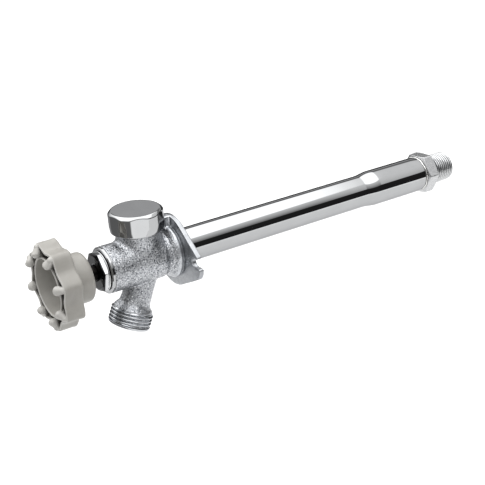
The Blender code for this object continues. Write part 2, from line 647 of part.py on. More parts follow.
def handle():
    hub = turned("handle", [
        (0, HUB_BACK), (HUB_RADIUS - 0.8 * MM, HUB_BACK), (HUB_RADIUS, HUB_BACK - 0.8 * MM),
        (HUB_RADIUS, SKIRT_BACK - 0.8 * MM), (CUP_RIM + CUP_WALL, SKIRT_BACK - 2.0 * MM),
        (CUP_RIM + CUP_WALL, HANDLE_FRONT), (CUP_RIM, HANDLE_FRONT), (CUP_BOTTOM, CUP_FLOOR - 1.0 * MM),
        (CUP_BOTTOM - 2.0 * MM, CUP_FLOOR), (0, CUP_FLOOR),
    ])
    skirt = flat_outline("skirt_tool", [lobed(0), lobed(SKIRT_WALL)], HANDLE_FRONT, SKIRT_BACK)
    web = flat_outline("web_tool", [lobed(0.3 * MM)], SKIRT_BACK - 2.0 * MM, SKIRT_BACK - 0.2 * MM)
    cut(web, rod_shape("web_hole_tool", HUB_RADIUS - 1.0 * MM, SKIRT_BACK - 9 * MM, SKIRT_BACK + 9 * MM))
    add(hub, web, skirt)
    rib_length = LOBE_TIP - CUP_RIM - SKIRT_WALL
    rib_middle = CUP_RIM + CUP_WALL / 2 + rib_length / 2
    rib_depth = SKIRT_BACK - HANDLE_FRONT - 2.0 * MM
    for i in range(LOBES):
        angle = LOBE_TURN + 2 * math.pi * i / LOBES
        across, up = math.cos(angle), math.sin(angle)
        rib = box(f"rib_tool_{i}", (rib_length, rib_depth, RIB_WIDTH),
                  (rib_middle * across, HANDLE_FRONT + rib_depth / 2 + 0.9 * MM, rib_middle * up),
                  (0, -angle, 0))
        bulb = bulb_shape(f"bulb_tool_{i}", BULB_RING * across, BULB_RING * up)
        add(hub, rib, bulb)
    broach = STEM_SQUARE + 2 * GAP
    cut(hub, box("broach_tool", (broach, 14 * MM, broach), (0, -66 * MM, 0)))
    return part(hub, (0.40, 0.385, 0.355), 0.5, 0.0)


def bulb_shape(name, x, z):
    mesh = bpy.data.meshes.new(name)
    bm = bmesh.new()
    bmesh.ops.create_uvsphere(bm, u_segments=8, v_segments=6, radius=BULB_RADIUS)
    bm.to_mesh(mesh)
    bm.free()
    return place(bpy.data.objects.new(name, mesh), (x, HANDLE_FRONT - 0.45 * MM, z), UPRIGHT)


def handle_fastening():
    washer_back = CUP_FLOOR - GAP
    washer_front = washer_back - 1.0 * MM
    washer = ring_shape("handle_washer", 2.3 * MM, 6.5 * MM, washer_front, washer_back, 24)
    part(washer, (0.66, 0.66, 0.68), 0.3, 1.0)
    head_back = washer_front - GAP
    screw = turned("handle_screw", [
        (0, head_back - 2.6 * MM), (3.0 * MM, head_back - 2.4 * MM), (4.4 * MM, head_back - 1.0 * MM),
        (4.4 * MM, head_back), (2.0 * MM, head_back), (2.0 * MM, -58.8 * MM), (1.5 * MM, -58.4 * MM),
        (0, -58.4 * MM),
    ], SMALL_ROUND)
    slot = box("handle_screw_slot_tool", (12 * MM, 2.4 * MM, 1.1 * MM), (0, head_back - 2.6 * MM, 0))
    part(cut(screw, slot), (0.66, 0.66, 0.68), 0.3, 1.0)


def vacuum_breaker():
    def about_boss(name, profile, steps=INNER_ROUND):
        return turned(name, profile, steps, (0, BOSS_Y, 0), UPRIGHT)

    disc_low = RISER_TOP + GAP
    disc_high = disc_low + 1.8 * MM
    flange_low = disc_high + GAP
    flange_high = flange_low + 1.8 * MM
    hub = 2.9 * MM
    poppet = about_boss("poppet", [
        (0, 6.0 * MM), (hub, 6.0 * MM), (hub, flange_low), (9.6 * MM, flange_low),
        (9.6 * MM, flange_high - 0.4 * MM), (9.2 * MM, flange_high), (hub, flange_high),
        (hub, flange_high + 2.4 * MM), (0, flange_high + 2.4 * MM),
    ])
    for i in range(2):
        wing = box(f"poppet_wing_tool_{i}", (11.0 * MM, 1.4 * MM, RISER_TOP - 6.4 * MM),
                   (0, BOSS_Y, (RISER_TOP + 6.4 * MM) / 2), (0, 0, i * math.pi / 2))
        add(poppet, wing)
    part(poppet, (0.82, 0.82, 0.80), 0.45, 0.0)
    disc = about_boss("poppet_disc", [
        (hub + GAP, disc_low), (8.8 * MM, disc_low), (8.8 * MM, disc_high), (hub + GAP, disc_high)])
    part(disc, (0.03, 0.03, 0.03), 0.55, 0.0)
    seal_low = flange_high + GAP
    seal = about_boss("vent_seal", [
        (hub + GAP, seal_low), (8.6 * MM, seal_low), (8.6 * MM, seal_low + 1.2 * MM),
        (hub + GAP, seal_low + 1.2 * MM)])
    part(seal, (0.03, 0.03, 0.03), 0.55, 0.0)

    gasket = about_boss("bonnet_gasket", [
        (11.2 * MM, BOSS_TOP + GAP), (12.7 * MM, BOSS_TOP + GAP), (12.7 * MM, BOSS_TOP + 1.2 * MM),
        (11.2 * MM, BOSS_TOP + 1.2 * MM)])
    part(gasket, (0.03, 0.03, 0.03), 0.55, 0.0)
    shelf = BOSS_TOP + 1.2 * MM + GAP
    bonnet = about_boss("vent_bonnet", [
        (6.4 * MM, BONNET_LOW), (10.8 * MM, BONNET_LOW), (10.8 * MM, shelf), (CAP_INNER - GAP, shelf),
        (CAP_INNER - GAP, shelf + 3.4 * MM), (11.6 * MM, shelf + 3.4 * MM), (11.6 * MM, shelf + 1.8 * MM),
        (6.4 * MM, shelf + 1.8 * MM)])
    for i in range(4):
        angle = math.pi / 4 + i * math.pi / 2
        notch = box(f"vent_notch_tool_{i}", (3.4 * MM, 4.0 * MM, 12 * MM),
                    (13.8 * MM * math.cos(angle), BOSS_Y + 13.8 * MM * math.sin(angle), shelf + 4 * MM),
                    (0, 0, angle))
        cut(bonnet, notch)
    part(bonnet, (0.72, 0.56, 0.28), 0.28, 1.0)


def vacuum_breaker_cap():
    shell = turned("vacuum_breaker_cap", [
        (0, CAP_TOP), (CAP_FACE, CAP_TOP), (CAP_FACE + 1.2 * MM, CAP_TOP - 0.7 * MM),
        (CAP_SHOULDER, CAP_SHOULDER_Z), (CAP_SKIRT, CAP_BOTTOM + 0.4 * MM),
        (CAP_SKIRT - 0.4 * MM, CAP_BOTTOM), (CAP_INNER, CAP_BOTTOM),
        (CAP_INNER, CAP_TOP - 3.4 * MM), (CAP_INNER - 1.4 * MM, CAP_TOP - 2.0 * MM), (0, CAP_TOP - 2.0 * MM),
    ], 36, (0, BOSS_Y, 0), UPRIGHT)
    flats = bpy.data.meshes.new("cap_flats_tool")
    bm = bmesh.new()
    corner = CAP_FLATS / math.sqrt(3)
    bmesh.ops.create_cone(bm, cap_ends=True, segments=6, radius1=corner, radius2=corner, depth=40 * MM)
    bm.to_mesh(flats)
    bm.free()
    tool = place(bpy.data.objects.new("cap_flats_tool", flats), (0, BOSS_Y, 26 * MM),
                 (0, 0, math.radians(10)))
    combine(shell, helper(tool), "INTERSECT")
    return part(shell, (0.76, 0.77, 0.79), 0.07, 1.0)


body_casting()
tube()
inlet_fitting()
braze_rings()
packing_nut()
packing_stack()
stem_screw()
stem_rod()
coupling_pin()
stem_guide()
seat_valve()
handle()
handle_fastening()
vacuum_breaker()
vacuum_breaker_cap()
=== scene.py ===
"""Looks for a frost-free hose bib: chrome-plated casting and tube, a moulded grey handle, and brass and
rubber inside.

Shapes are worked out in millimetres in the frame's axes: +Y runs through the wall to the inlet, the handle
is at -Y and +Z is up. The casting, the handle and its screw are the zero surfaces of distance fields, and
the other new pieces are outlines wrapped round an axis. The inner pieces keep their CAD meshes.
"""

import math

import bmesh
import bpy
import numpy as np
from mathutils import Matrix, Vector, noise
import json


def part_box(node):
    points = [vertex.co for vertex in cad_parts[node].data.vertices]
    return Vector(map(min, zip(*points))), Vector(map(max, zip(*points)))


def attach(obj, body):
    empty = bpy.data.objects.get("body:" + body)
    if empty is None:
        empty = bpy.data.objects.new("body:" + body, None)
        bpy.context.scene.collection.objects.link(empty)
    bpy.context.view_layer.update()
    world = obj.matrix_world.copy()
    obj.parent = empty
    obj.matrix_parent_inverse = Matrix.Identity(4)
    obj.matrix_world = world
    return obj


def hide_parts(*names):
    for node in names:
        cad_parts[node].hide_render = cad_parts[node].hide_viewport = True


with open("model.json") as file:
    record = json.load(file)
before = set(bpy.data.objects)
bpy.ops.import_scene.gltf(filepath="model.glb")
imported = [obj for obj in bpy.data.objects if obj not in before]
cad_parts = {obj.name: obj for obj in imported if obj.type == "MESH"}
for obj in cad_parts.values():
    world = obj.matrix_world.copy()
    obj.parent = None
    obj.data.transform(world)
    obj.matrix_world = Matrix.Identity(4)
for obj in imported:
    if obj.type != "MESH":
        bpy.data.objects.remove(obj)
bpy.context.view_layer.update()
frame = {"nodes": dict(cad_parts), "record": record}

MM = 0.001


def in_mm(node):
    """Lowest and highest corner of a CAD node, in millimetres."""
    return tuple(np.array(corner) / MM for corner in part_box(node))


def mount(name):
    """Place, in millimetres, and axis of one of the record's mounts."""
    found = next(m for m in frame["record"]["mounts"] if m["name"] == name)
    return np.array(found["pos_m"]) / MM, np.array(found["axis"])


# Places read from the frame
CASTING_LOW, CASTING_HIGH = in_mm("body_casting")
HANDLE_LOW, HANDLE_HIGH = in_mm("handle")
TUBE_LOW, TUBE_HIGH = in_mm("tube")
INLET_HIGH = in_mm("inlet_fitting")[1]
NUT_LOW = in_mm("packing_nut")[0]
CAP_LOW, CAP_HIGH = in_mm("vacuum_breaker_cap")
STEM_LOW, STEM_HIGH = in_mm("stem_screw")
WASHER_LOW, WASHER_HIGH = in_mm("handle_washer")
SCREW_LOW, SCREW_HIGH = in_mm("handle_screw")
BRAZE_LOW, BRAZE_HIGH = in_mm("inlet_braze_ring")
OUTLET_POINT, OUTLET_AXIS = mount("outlet_end")
OUTLET = np.array((0.0, OUTLET_POINT[1], OUTLET_POINT[2]))
SPOUT_UP = -OUTLET_AXIS
BOSS_Y = (CAP_LOW[1] + CAP_HIGH[1]) / 2
BARREL_FRONT = CASTING_LOW[1]

# Casting's outside. The hub's radii go with places along the barrel, the neck's with heights up the spout.
BARREL = 14.7
COLLAR_LONG = 2.8
HUB_PLACES = (-14.0, -11.5, -9.0, -7.2, -6.0, -5.2, -4.2, -3.6, -3.0)
HUB_RADII = (BARREL, 13.9, 14.2, 15.9, 16.9, 17.1, 17.0, 16.2, 15.6)
FLANGE_THICK = 3.2
FLANGE_DISC = 23.0
EAR = 8.1
EAR_X = 25.6
EAR_TOP_Z = -0.4
EAR_LOW_Z = -3.8
SLOT_X = 28.3
SLOT_Z = 0.4
SLOT_HALF = 3.1
BOSS = 13.6
BOSS_NECK = 12.9
BOSS_STEP = 19.3
BOSS_TOP = 23.0
HOSE_MAJOR = 13.45
HOSE_MINOR = 12.2
HOSE_PITCH = 2.209
HOSE_TURNS = 4
HOSE_RIM = 1.5
HOSE_TOP = 11.3
NECK_HEIGHTS = (10.3, 11.2, 12.2, 13.4, 15.2, 18.0, 30.0)
NECK_RADII = (12.35, 12.3, 11.6, 10.5, 9.75, 9.4, 9.2)
NECK_TOP = 38.0
RIB_HALF = 2.3
RIB_FRONT = -8.2
RIB_BACK = -1.5
RIB_LOW = 10.0
RIB_HIGH = 23.2
CASTING_STEP = 0.42
MACHINED_BACK = -3.6
PEBBLES_PER_M = 900
SWELLS_PER_M = 220
PEBBLE_HEIGHT = 0.05

# Casting's bores
BORE_EDGE = 0.1
NUT_SOCKET = 10.6
NUT_SOCKET_BACK = -43.7
SLEEVE = 8.3
SLEEVE_FRONT = -46.2
SLEEVE_BACK = -43.0
SCREW_BORE = 6.65
CHAMBER = 9.5
CHAMBER_FRONT = -33.0
CHAMBER_BACK = -10.0
TUBE_SOCKET = 11.4
BRAZE_RECESS = 12.8
BRAZE_RECESS_FRONT = -1.8
RISER = 8.0
RISER_BORE = 6.0
RISER_TOP = 13.0
BOSS_BORE = 11.1
BOSS_FLOOR = 11.2
JACKET_INNER = 10.9
JACKET_OUTER = 13.3
JACKET_HALF = 4.0
DROP_X = 9.6
DROP = 1.8
DROP_LOW = 7.4
DROP_HIGH = 11.6
OUTLET_BORE = 9.2
OUTLET_DEPTH = 12.0
SPOUT_BORE = 6.3
SPOUT_BORE_TOP = 29.2

# Handle
LOBES = 8
LOBE_TURN = math.radians(16.0)
LOBE_TIP = 27.0
LOBE_VALLEY = 23.6
LOBE_ROUND = 0.28
LOBE_CURVE = 1.6
SKIRT_WALL = 1.9
SKIRT_BACK = -74.8
HUB = 15.4
CUP_RIM = 17.4
CUP_WALL = 1.2
CUP_FLOOR = -70.5
CUP_TAPER = 3.4 / 17.5
SPOKE_HALF = 1.2
SPOKE_START = 16.0
KNOB_START = 21.2
KNOB_LONG = 3.2
KNOB_Y = -88.1
KNOB_SLOPE = 1.6
KNOB = 2.95
KNOB_NARROWS = 0.9
SQUARE = 7.4
HANDLE_RIM = -86.4
HANDLE_STEP = 0.4
SCREW_SHANK = 2.0
SCREW_HEAD = 4.4
SCREW_DOME = 7.0
SCREW_SLOT_HALF = 0.6
SCREW_SLOT_DEEP = 1.2
SCREW_STEP = 0.18

# Turned pieces
TUBE = 11.1
SWELL = 12.3
TUBE_WALL = 0.9
SWELL_START = 146.5
SWELL_END = 159.0
NUT_FLAT = 11.25
NUT_TURN = math.radians(12.5)
NUT_HEX_BACK = -52.1
NUT_HOLLOW_BACK = -53.7
NUT_SHANK_BACK = -44.0
INLET_FLAT = 13.0
INLET_TURN = math.radians(4.0)
HEX_FRONT = 201.2
HEX_BACK = 210.0
PIPE_LARGE = 10.65
PIPE_TAPER = 1 / 32
PIPE_PITCH = 1.814
SEAT_FACE = 172.5
CAP_FLAT = 16.1
CAP_TURN = math.radians(10.0)
STEM_SMOOTH = 4.8
STEM_PITCH = 2.54

# Materials: places along Y where a finish changes, each from and to
CHROME_TINT = (0.6, 0.6, 0.61, 1)
RING_PLATE = (-7.4, -6.0)
FLANGE_PLATE = (-4.0, -3.3)
# where the painted shade on the stem ends, just inside the packing nut
STEM_SHADE_EDGE = (-53.5, -52.5)

# Camera, lights and floor
CAMERA_AT = Vector((0.5213, -0.2783, 0.2505))
CAMERA_AZIMUTH = math.radians(57.82)
CAMERA_ELEVATION = math.radians(22.96)
CAMERA_ROLL = math.radians(-3.84)
CAMERA_LENS = 76.17
FLOOR_DROP = 0.11
FLOOR_RADIUS = 0.5
LIGHT_STRENGTH = 2.75
SEEN_BACKGROUND = 0.38
UNDER_END_LIGHT = 0.08

X, Y, Z = np.eye(3)
ALONG_Y = (np.zeros(3), X, Z, Y)
UP_BOSS = (np.array((0, BOSS_Y, 0)), X, Y, Z)
UP_SPOUT = (OUTLET, X, np.cross(SPOUT_UP, X), SPOUT_UP)


# ---------------------------------------------------------------- distance fields

def smooth_min(a, b, reach):
    near = np.maximum(reach - np.abs(a - b), 0) / reach
    return np.minimum(a, b) - near * near * reach / 4


def smooth_max(a, b, reach):
    return -smooth_min(-a, -b, reach)


def rounded(side, end, radius):
    """Distance to where both side and end are inside, with the edge between them rounded."""
    side = side + radius
    end = end + radius
    outside = np.hypot(np.maximum(side, 0), np.maximum(end, 0))
    return np.minimum(np.maximum(side, end), 0) + outside - radius


def between(value, low, high):
    return np.abs(value - (low + high) / 2) - (high - low) / 2


def drum(radial, along, radius, low, high, edge=0.3):
    return rounded(radial - radius, between(along, low, high), edge)


def taut_pair(x, z, first, second):
    """Plane distance to the taut outline round two circles, each (x, z, radius)."""
    dx, dz = second[0] - first[0], second[1] - first[1]
    length = math.hypot(dx, dz)
    along = ((x - first[0]) * dx + (z - first[1]) * dz) / length
    across = np.abs((x - first[0]) * dz - (z - first[1]) * dx) / length
    slope = (first[2] - second[2]) / length
    level = math.sqrt(1 - slope * slope)
    where = level * along - slope * across
    side = level * across + slope * along - first[2]
    side = np.where(where < 0, np.hypot(along, across) - first[2], side)
    return np.where(where > level * length, np.hypot(along - length, across) - second[2], side)


def slopes(field, points, reach=0.02):
    """The field's value and gradient at each point."""
    value = field(*points.T)
    gradient = np.empty_like(points)
    for axis in range(3):
        shift = np.zeros(3)
        shift[axis] = reach
        gradient[:, axis] = (field(*(points + shift).T) - field(*(points - shift).T)) / (2 * reach)
    return value, gradient


def settle(points, field, step, rounds):
    """Draws the points onto the field's zero surface."""
    for _ in range(rounds):
        value, gradient = slopes(field, points)
        square = np.maximum((gradient ** 2).sum(axis=1), 0.05)
        move = gradient * (value / square)[:, None]
        length = np.maximum(np.linalg.norm(move, axis=1), 1e-9)
        move *= (np.minimum(length, step / 2) / length)[:, None]
        points = points - move
    return points


def crossing_points(value, cells, axes):
    """One point in each cell that the surface crosses: the mean of the crossings of its twelve edges."""
    step = axes[0][1] - axes[0][0]
    corners = [(i, j, k) for i in (0, 1) for j in (0, 1) for k in (0, 1)]
    at_corner = {c: value[tuple((cells + c).T)] for c in corners}
    total = np.zeros(cells.shape)
    count = np.zeros(len(cells))
    for first in corners:
        for axis in range(3):
            if first[axis]:
                continue
            second = tuple(1 if i == axis else n for i, n in enumerate(first))
            a, b = at_corner[first], at_corner[second]
            crosses = (a < 0) != (b < 0)
            share = np.where(crosses, a / np.where(crosses, a - b, 1), 0)
            place = np.tile(np.array(first, float), (len(cells), 1))
            place[:, axis] += share
            total += place * crosses[:, None]
            count += crosses
    start = np.stack([axes[i][cells[:, i]] for i in range(3)], axis=1)
    return start + step * total / count[:, None]


def quads_of(inside, index):
    """One quad round each grid edge that the surface crosses, facing outwards."""
    quads = []
    for axis in range(3):
        a = np.moveaxis(inside, axis, 0)
        change = np.moveaxis(a[:-1] != a[1:], 0, axis)
        edges = np.argwhere(change)
        u, v = (axis + 1) % 3, (axis + 2) % 3
        ring = []
        for du, dv in ((-1, -1), (0, -1), (0, 0), (-1, 0)):
            cell = edges.copy()
            cell[:, u] += du
            cell[:, v] += dv
            ring.append(index[tuple(cell.T)])
        ring = np.stack(ring, axis=1)
        low_inside = inside[tuple(edges.T)]
        quads.append(np.where(low_inside[:, None], ring, ring[:, ::-1]))
    return np.concatenate(quads)


def evened(points, quads):
    """Each point drawn half way to the mean of its neighbours."""
    ends = np.concatenate([quads[:, [0, 1]], quads[:, [1, 2]], quads[:, [2, 3]], quads[:, [3, 0]]])
    count = np.bincount(ends[:, 0], minlength=len(points))
    mean = np.stack([np.bincount(ends[:, 0], points[ends[:, 1], i], len(points)) for i in range(3)], axis=1)
    return (points + mean / count[:, None]) / 2


def surface(name, field, low, high, step):
    """The zero surface of a distance field between two corners, as a mesh of quads."""
    axes = [np.arange(a - 2 * step, b + 3 * step, step) for a, b in zip(low, high)]
    value = field(*np.meshgrid(*axes, indexing="ij"))
    inside = value < 0
    count = np.zeros(tuple(n - 1 for n in inside.shape), np.int8)
    size = count.shape
    for i in (0, 1):
        for j in (0, 1):
            for k in (0, 1):
                count += inside[i:i + size[0], j:j + size[1], k:k + size[2]]
    cells = np.argwhere((count > 0) & (count < 8))
    index = np.full(size, -1)
    index[tuple(cells.T)] = np.arange(len(cells))
    quads = quads_of(inside, index)
    points = settle(crossing_points(value, cells, axes), field, step, 2)
    points = settle(evened(points, quads), field, step, 2)
    mesh = bpy.data.meshes.new(name)
    mesh.from_pydata((points * MM).tolist(), [], quads.tolist())
    mesh.shade_smooth()
    obj = bpy.data.objects.new(name, mesh)
    bpy.context.scene.collection.objects.link(obj)
    return obj


# ---------------------------------------------------------------- outlines wrapped round an axis

def eased(outline, radius, closed=True, parts=3):
    """The outline with each corner replaced by a short curve."""
    points = [np.array(p, float) for p in outline]
    result = []
    for i, corner in enumerate(points):
        if not closed and i in (0, len(points) - 1):
            result.append(corner)
            continue
        before, after = points[i - 1] - corner, points[(i + 1) % len(points)] - corner
        lengths = np.linalg.norm(before), np.linalg.norm(after)
        cut = min(radius, 0.45 * lengths[0], 0.45 * lengths[1])
        start, end = corner + before / lengths[0] * cut, corner + after / lengths[1] * cut
        for share in np.linspace(0, 1, parts + 1):
            result.append((1 - share) ** 2 * start + 2 * share * (1 - share) * corner + share ** 2 * end)
    return result


def finer(outline, step, closed=True):
    """The outline with its long stretches divided into steps."""
    result = []
    ends = outline[1:] + outline[:1] if closed else outline[1:]
    for start, end in zip(outline, ends):
        count = max(1, math.ceil(np.linalg.norm(np.subtract(end, start)) / step))
        result += [np.add(start, np.subtract(end, start) * i / count) for i in range(count)]
    return result if closed else result + [outline[-1]]


def wrapped(name, outline, basis=ALONG_Y, count=96, shape=None, closed=True):
    """A (radius, height) outline carried round an axis.

    shape(radius, height, angle) gives the real radius.
    """
    origin, across, over, along = basis
    outline = np.array(outline)
    angle = np.linspace(0, 2 * math.pi, count, endpoint=False)[None, :]
    radius = np.repeat(outline[:, :1], count, axis=1)
    height = np.repeat(outline[:, 1:], count, axis=1)
    if shape:
        radius = shape(radius, height, angle + 0 * radius)
    points = (
        origin
        + (radius * np.cos(angle))[..., None] * across
        + (radius * np.sin(angle))[..., None] * over
        + height[..., None] * along
    ).reshape(-1, 3)
    rows = len(outline)
    faces = []
    for row in range(rows if closed else rows - 1):
        low, high = row * count, (row + 1) % rows * count
        for i in range(count):
            j = (i + 1) % count
            faces.append((low + i, low + j, high + j, high + i))
    mesh = bpy.data.meshes.new(name)
    mesh.from_pydata((points * MM).tolist(), [], faces)
    bm = bmesh.new()
    bm.from_mesh(mesh)
    bmesh.ops.remove_doubles(bm, verts=bm.verts, dist=1e-7)
    bmesh.ops.recalc_face_normals(bm, faces=bm.faces)
    bm.to_mesh(mesh)
    bm.free()
    mesh.shade_smooth()
    mesh.set_sharp_from_angle(angle=math.radians(40))
    obj = bpy.data.objects.new(name, mesh)
    bpy.context.scene.collection.objects.link(obj)
    weighted = obj.modifiers.new("even shading", "WEIGHTED_NORMAL")
    weighted.keep_sharp = True
    return obj


def hexed(flat, turn, low, high, ease=0.25):
    """Between two heights, cuts the radius back to a hexagon with one corner at the angle turn."""
    def shape(radius, height, angle):
        off_flat = (angle - turn) % (math.pi / 3) - math.pi / 6
        limit = flat / np.cos(off_flat)
        return np.where((height >= low) & (height <= high), smooth_min(radius, limit, ease), radius)
    return shape


def threaded(low, high, pitch, depth, crest_share=0.35, fade=0.6, taper=0.0):
    """Cuts a right-handed helical thread that fades in and out, between two heights."""
    def shape(radius, height, angle):
        turns = (height - low) / pitch - angle / (2 * math.pi)
        off_crest = np.abs((turns + 0.5) % 1 - 0.5) * 2
        ridge = np.clip((1 - off_crest) / (1 - crest_share), 0, 1)
        ridge = ridge * ridge * (3 - 2 * ridge)
        run = np.clip(np.minimum(height - low, high - height) / (fade * pitch), 0, 1)
        cut = depth * (1 - ridge * run)
        inside = (height >= low) & (height <= high)
        return np.where(inside, radius - cut - taper * (height - low), radius)
    return shape


# ---------------------------------------------------------------- materials

class Finish:
    """A material with one Principled shader, and short calls for the nodes that vary it."""

    def __init__(self, name, metallic):
        self.material = bpy.data.materials.new(name)
        self.material.use_nodes = True
        self.tree = self.material.node_tree
        self.shader = self.tree.nodes["Principled BSDF"]
        self.shader.inputs["Metallic"].default_value = metallic
        self.place = self.node("ShaderNodeTexCoord").outputs["Object"]

    def node(self, kind, links=None, values=None, **settings):
        """A new node, with sources linked to its sockets and values set on them."""
        node = self.tree.nodes.new(kind)
        for key, value in settings.items():
            setattr(node, key, value)
        for key, value in (values or {}).items():
            node.inputs[key].default_value = value
        for key, source in (links or {}).items():
            self.tree.links.new(source, node.inputs[key])
        return node

    def noise(self, grain_mm, detail=3.0, distortion=0.0):
        """Noise whose grain is about this many millimetres across."""
        values = {"Scale": 1 / (grain_mm * MM), "Detail": detail, "Distortion": distortion}
        return self.node("ShaderNodeTexNoise", {"Vector": self.place}, values).outputs["Fac"]

    def ramp(self, source, *stops):
        """Colours or greys at positions along source."""
        node = self.node("ShaderNodeValToRGB", {"Fac": source})
        stripes = node.color_ramp.elements
        while len(stripes) < len(stops):
            stripes.new(0.5)
        for stripe, (position, colour) in zip(stripes, stops):
            stripe.position = position
            grey = isinstance(colour, (int, float))
            stripe.color = (colour, colour, colour, 1) if grey else (*colour, 1)
        return node.outputs["Color"]

    def mixed(self, share, first, second):
        node = self.node("ShaderNodeMix", data_type="RGBA")
        for index, source in ((0, share), (6, first), (7, second)):
            self.tree.links.new(source, node.inputs[index])
        return node.outputs[2]

    def maths(self, operation, first, second):
        node = self.node("ShaderNodeMath", operation=operation)
        for socket, source in zip(node.inputs, (first, second)):
            if isinstance(source, (int, float)):
                socket.default_value = source
            else:
                self.tree.links.new(source, socket)
        return node.outputs[0]

    def band(self, axis, low_mm, high_mm):
        """0 below the low place on an axis and 1 above the high one."""
        place = self.node("ShaderNodeSeparateXYZ", {"Vector": self.place}).outputs[axis]
        values = {"From Min": low_mm * MM, "From Max": high_mm * MM}
        node = self.node("ShaderNodeMapRange", {"Value": place}, values, interpolation_type="SMOOTHSTEP")
        return node.outputs[0]

    def reached(self, low_mm, high_mm):
        """0 nearer the tube's axis than the low distance and 1 farther than the high one."""
        place = self.node("ShaderNodeSeparateXYZ", {"Vector": self.place}).outputs
        flat = self.node("ShaderNodeCombineXYZ", {"X": place["X"], "Z": place["Z"]}).outputs[0]
        radial = self.node("ShaderNodeVectorMath", {"Vector": flat}, operation="LENGTH").outputs["Value"]
        values = {"From Min": low_mm * MM, "From Max": high_mm * MM}
        return self.node("ShaderNodeMapRange", {"Value": radial}, values).outputs[0]

    def colour(self, source):
        self.tree.links.new(source, self.shader.inputs["Base Color"])

    def roughness(self, source):
        self.tree.links.new(source, self.shader.inputs["Roughness"])

    def bumps(self, *layers):
        """Bump layers, each (height, strength, depth in millimetres), laid over one another."""
        normal = None
        for height, strength, depth in layers:
            links = {"Height": height}
            if normal:
                links["Normal"] = normal
            node = self.node("ShaderNodeBump", links, {"Strength": strength, "Distance": depth * MM})
            normal = node.outputs["Normal"]
        self.tree.links.new(normal, self.shader.inputs["Normal"])


def cast_chrome():
    """Sparkling cast skin, and smoother plate from the hub's ring back to the flange."""
    finish = Finish("chrome over sand casting", 1.0)
    broad = finish.noise(3.0, 1.0)
    grain = finish.noise(0.85, 1.5, 0.5)
    specks = finish.noise(0.5, 1.0)
    marks = finish.maths("ADD", finish.maths("MULTIPLY", grain, 0.7), finish.maths("MULTIPLY", specks, 0.3))
    skin = finish.ramp(marks, (0.40, (0.12, 0.13, 0.14)), (0.47, (0.36, 0.37, 0.39)),
                       (0.60, (0.53, 0.54, 0.56)), (0.68, (0.84, 0.85, 0.86)))
    ring = finish.ramp(broad, (0.3, (0.43, 0.445, 0.465)), (0.7, (0.52, 0.535, 0.555)))
    flange = finish.ramp(broad, (0.3, (0.31, 0.32, 0.335)), (0.7, (0.37, 0.38, 0.395)))
    smooth = finish.band("Y", *RING_PLATE)
    plate = finish.mixed(finish.band("Y", *FLANGE_PLATE), ring, flange)
    finish.colour(finish.mixed(smooth, skin, plate))
    finish.roughness(finish.ramp(grain, (0.3, 0.26), (0.7, 0.38)))
    rough = finish.maths("SUBTRACT", 1.0, finish.maths("MULTIPLY", smooth, 0.85))
    finish.bumps((finish.maths("MULTIPLY", broad, rough), 0.15, 0.3),
                 (finish.maths("MULTIPLY", grain, rough), 1.0, 0.4))
    return finish.material


def polished_chrome():
    finish = Finish("polished chrome", 1.0)
    finish.shader.inputs["Specular Tint"].default_value = CHROME_TINT
    smears = finish.noise(16.0, 3.0, 0.6)
    finish.colour(finish.ramp(smears, (0.3, (0.385, 0.39, 0.395)), (0.7, (0.41, 0.415, 0.42))))
    finish.roughness(finish.ramp(finish.noise(2.5, 4.0), (0.35, 0.025), (0.75, 0.065)))
    finish.bumps((finish.noise(9.0, 1.0), 0.15, 0.03), (finish.noise(0.35, 2.0), 0.05, 0.01))
    return finish.material


def thread_chrome():
    """Smooth satin plate over the cast hose thread."""
    finish = Finish("satin chrome over the hose thread", 1.0)
    finish.shader.inputs["Specular Tint"].default_value = CHROME_TINT
    grain = finish.noise(0.6, 2.0)
    smears = finish.noise(2.5, 3.0)
    finish.colour(finish.ramp(smears, (0.3, (0.43, 0.445, 0.465)), (0.75, (0.53, 0.54, 0.555))))
    finish.roughness(finish.ramp(grain, (0.3, 0.14), (0.75, 0.24)))
    finish.bumps((finish.noise(1.8, 1.0), 0.25, 0.12), (grain, 0.2, 0.05))
    return finish.material


def nut_chrome():
    """Polished plate, with a painted dark reflection, near black, on the nut's front face."""
    finish = Finish("polished chrome with painted dark reflection on the face", 1.0)
    smears = finish.noise(6.0, 3.0, 0.6)
    bright = finish.ramp(smears, (0.3, (0.50, 0.505, 0.51)), (0.7, (0.58, 0.585, 0.59)))
    # painted dark reflection: near-black colour standing in for the dark surroundings the nut's front face
    # reflects
    dark = finish.ramp(smears, (0.3, (0.012, 0.012, 0.013)), (0.7, (0.03, 0.03, 0.032)))
    # the band puts the painted dark reflection on the nut's front face, its first millimetre
    finish.colour(finish.mixed(finish.band("Y", NUT_LOW[1] + 1.0, NUT_LOW[1] + 1.25), dark, bright))
    finish.roughness(finish.ramp(finish.noise(1.5, 4.0), (0.35, 0.03), (0.75, 0.09)))
    finish.bumps((finish.noise(5.0, 1.0), 0.1, 0.03))
    return finish.material


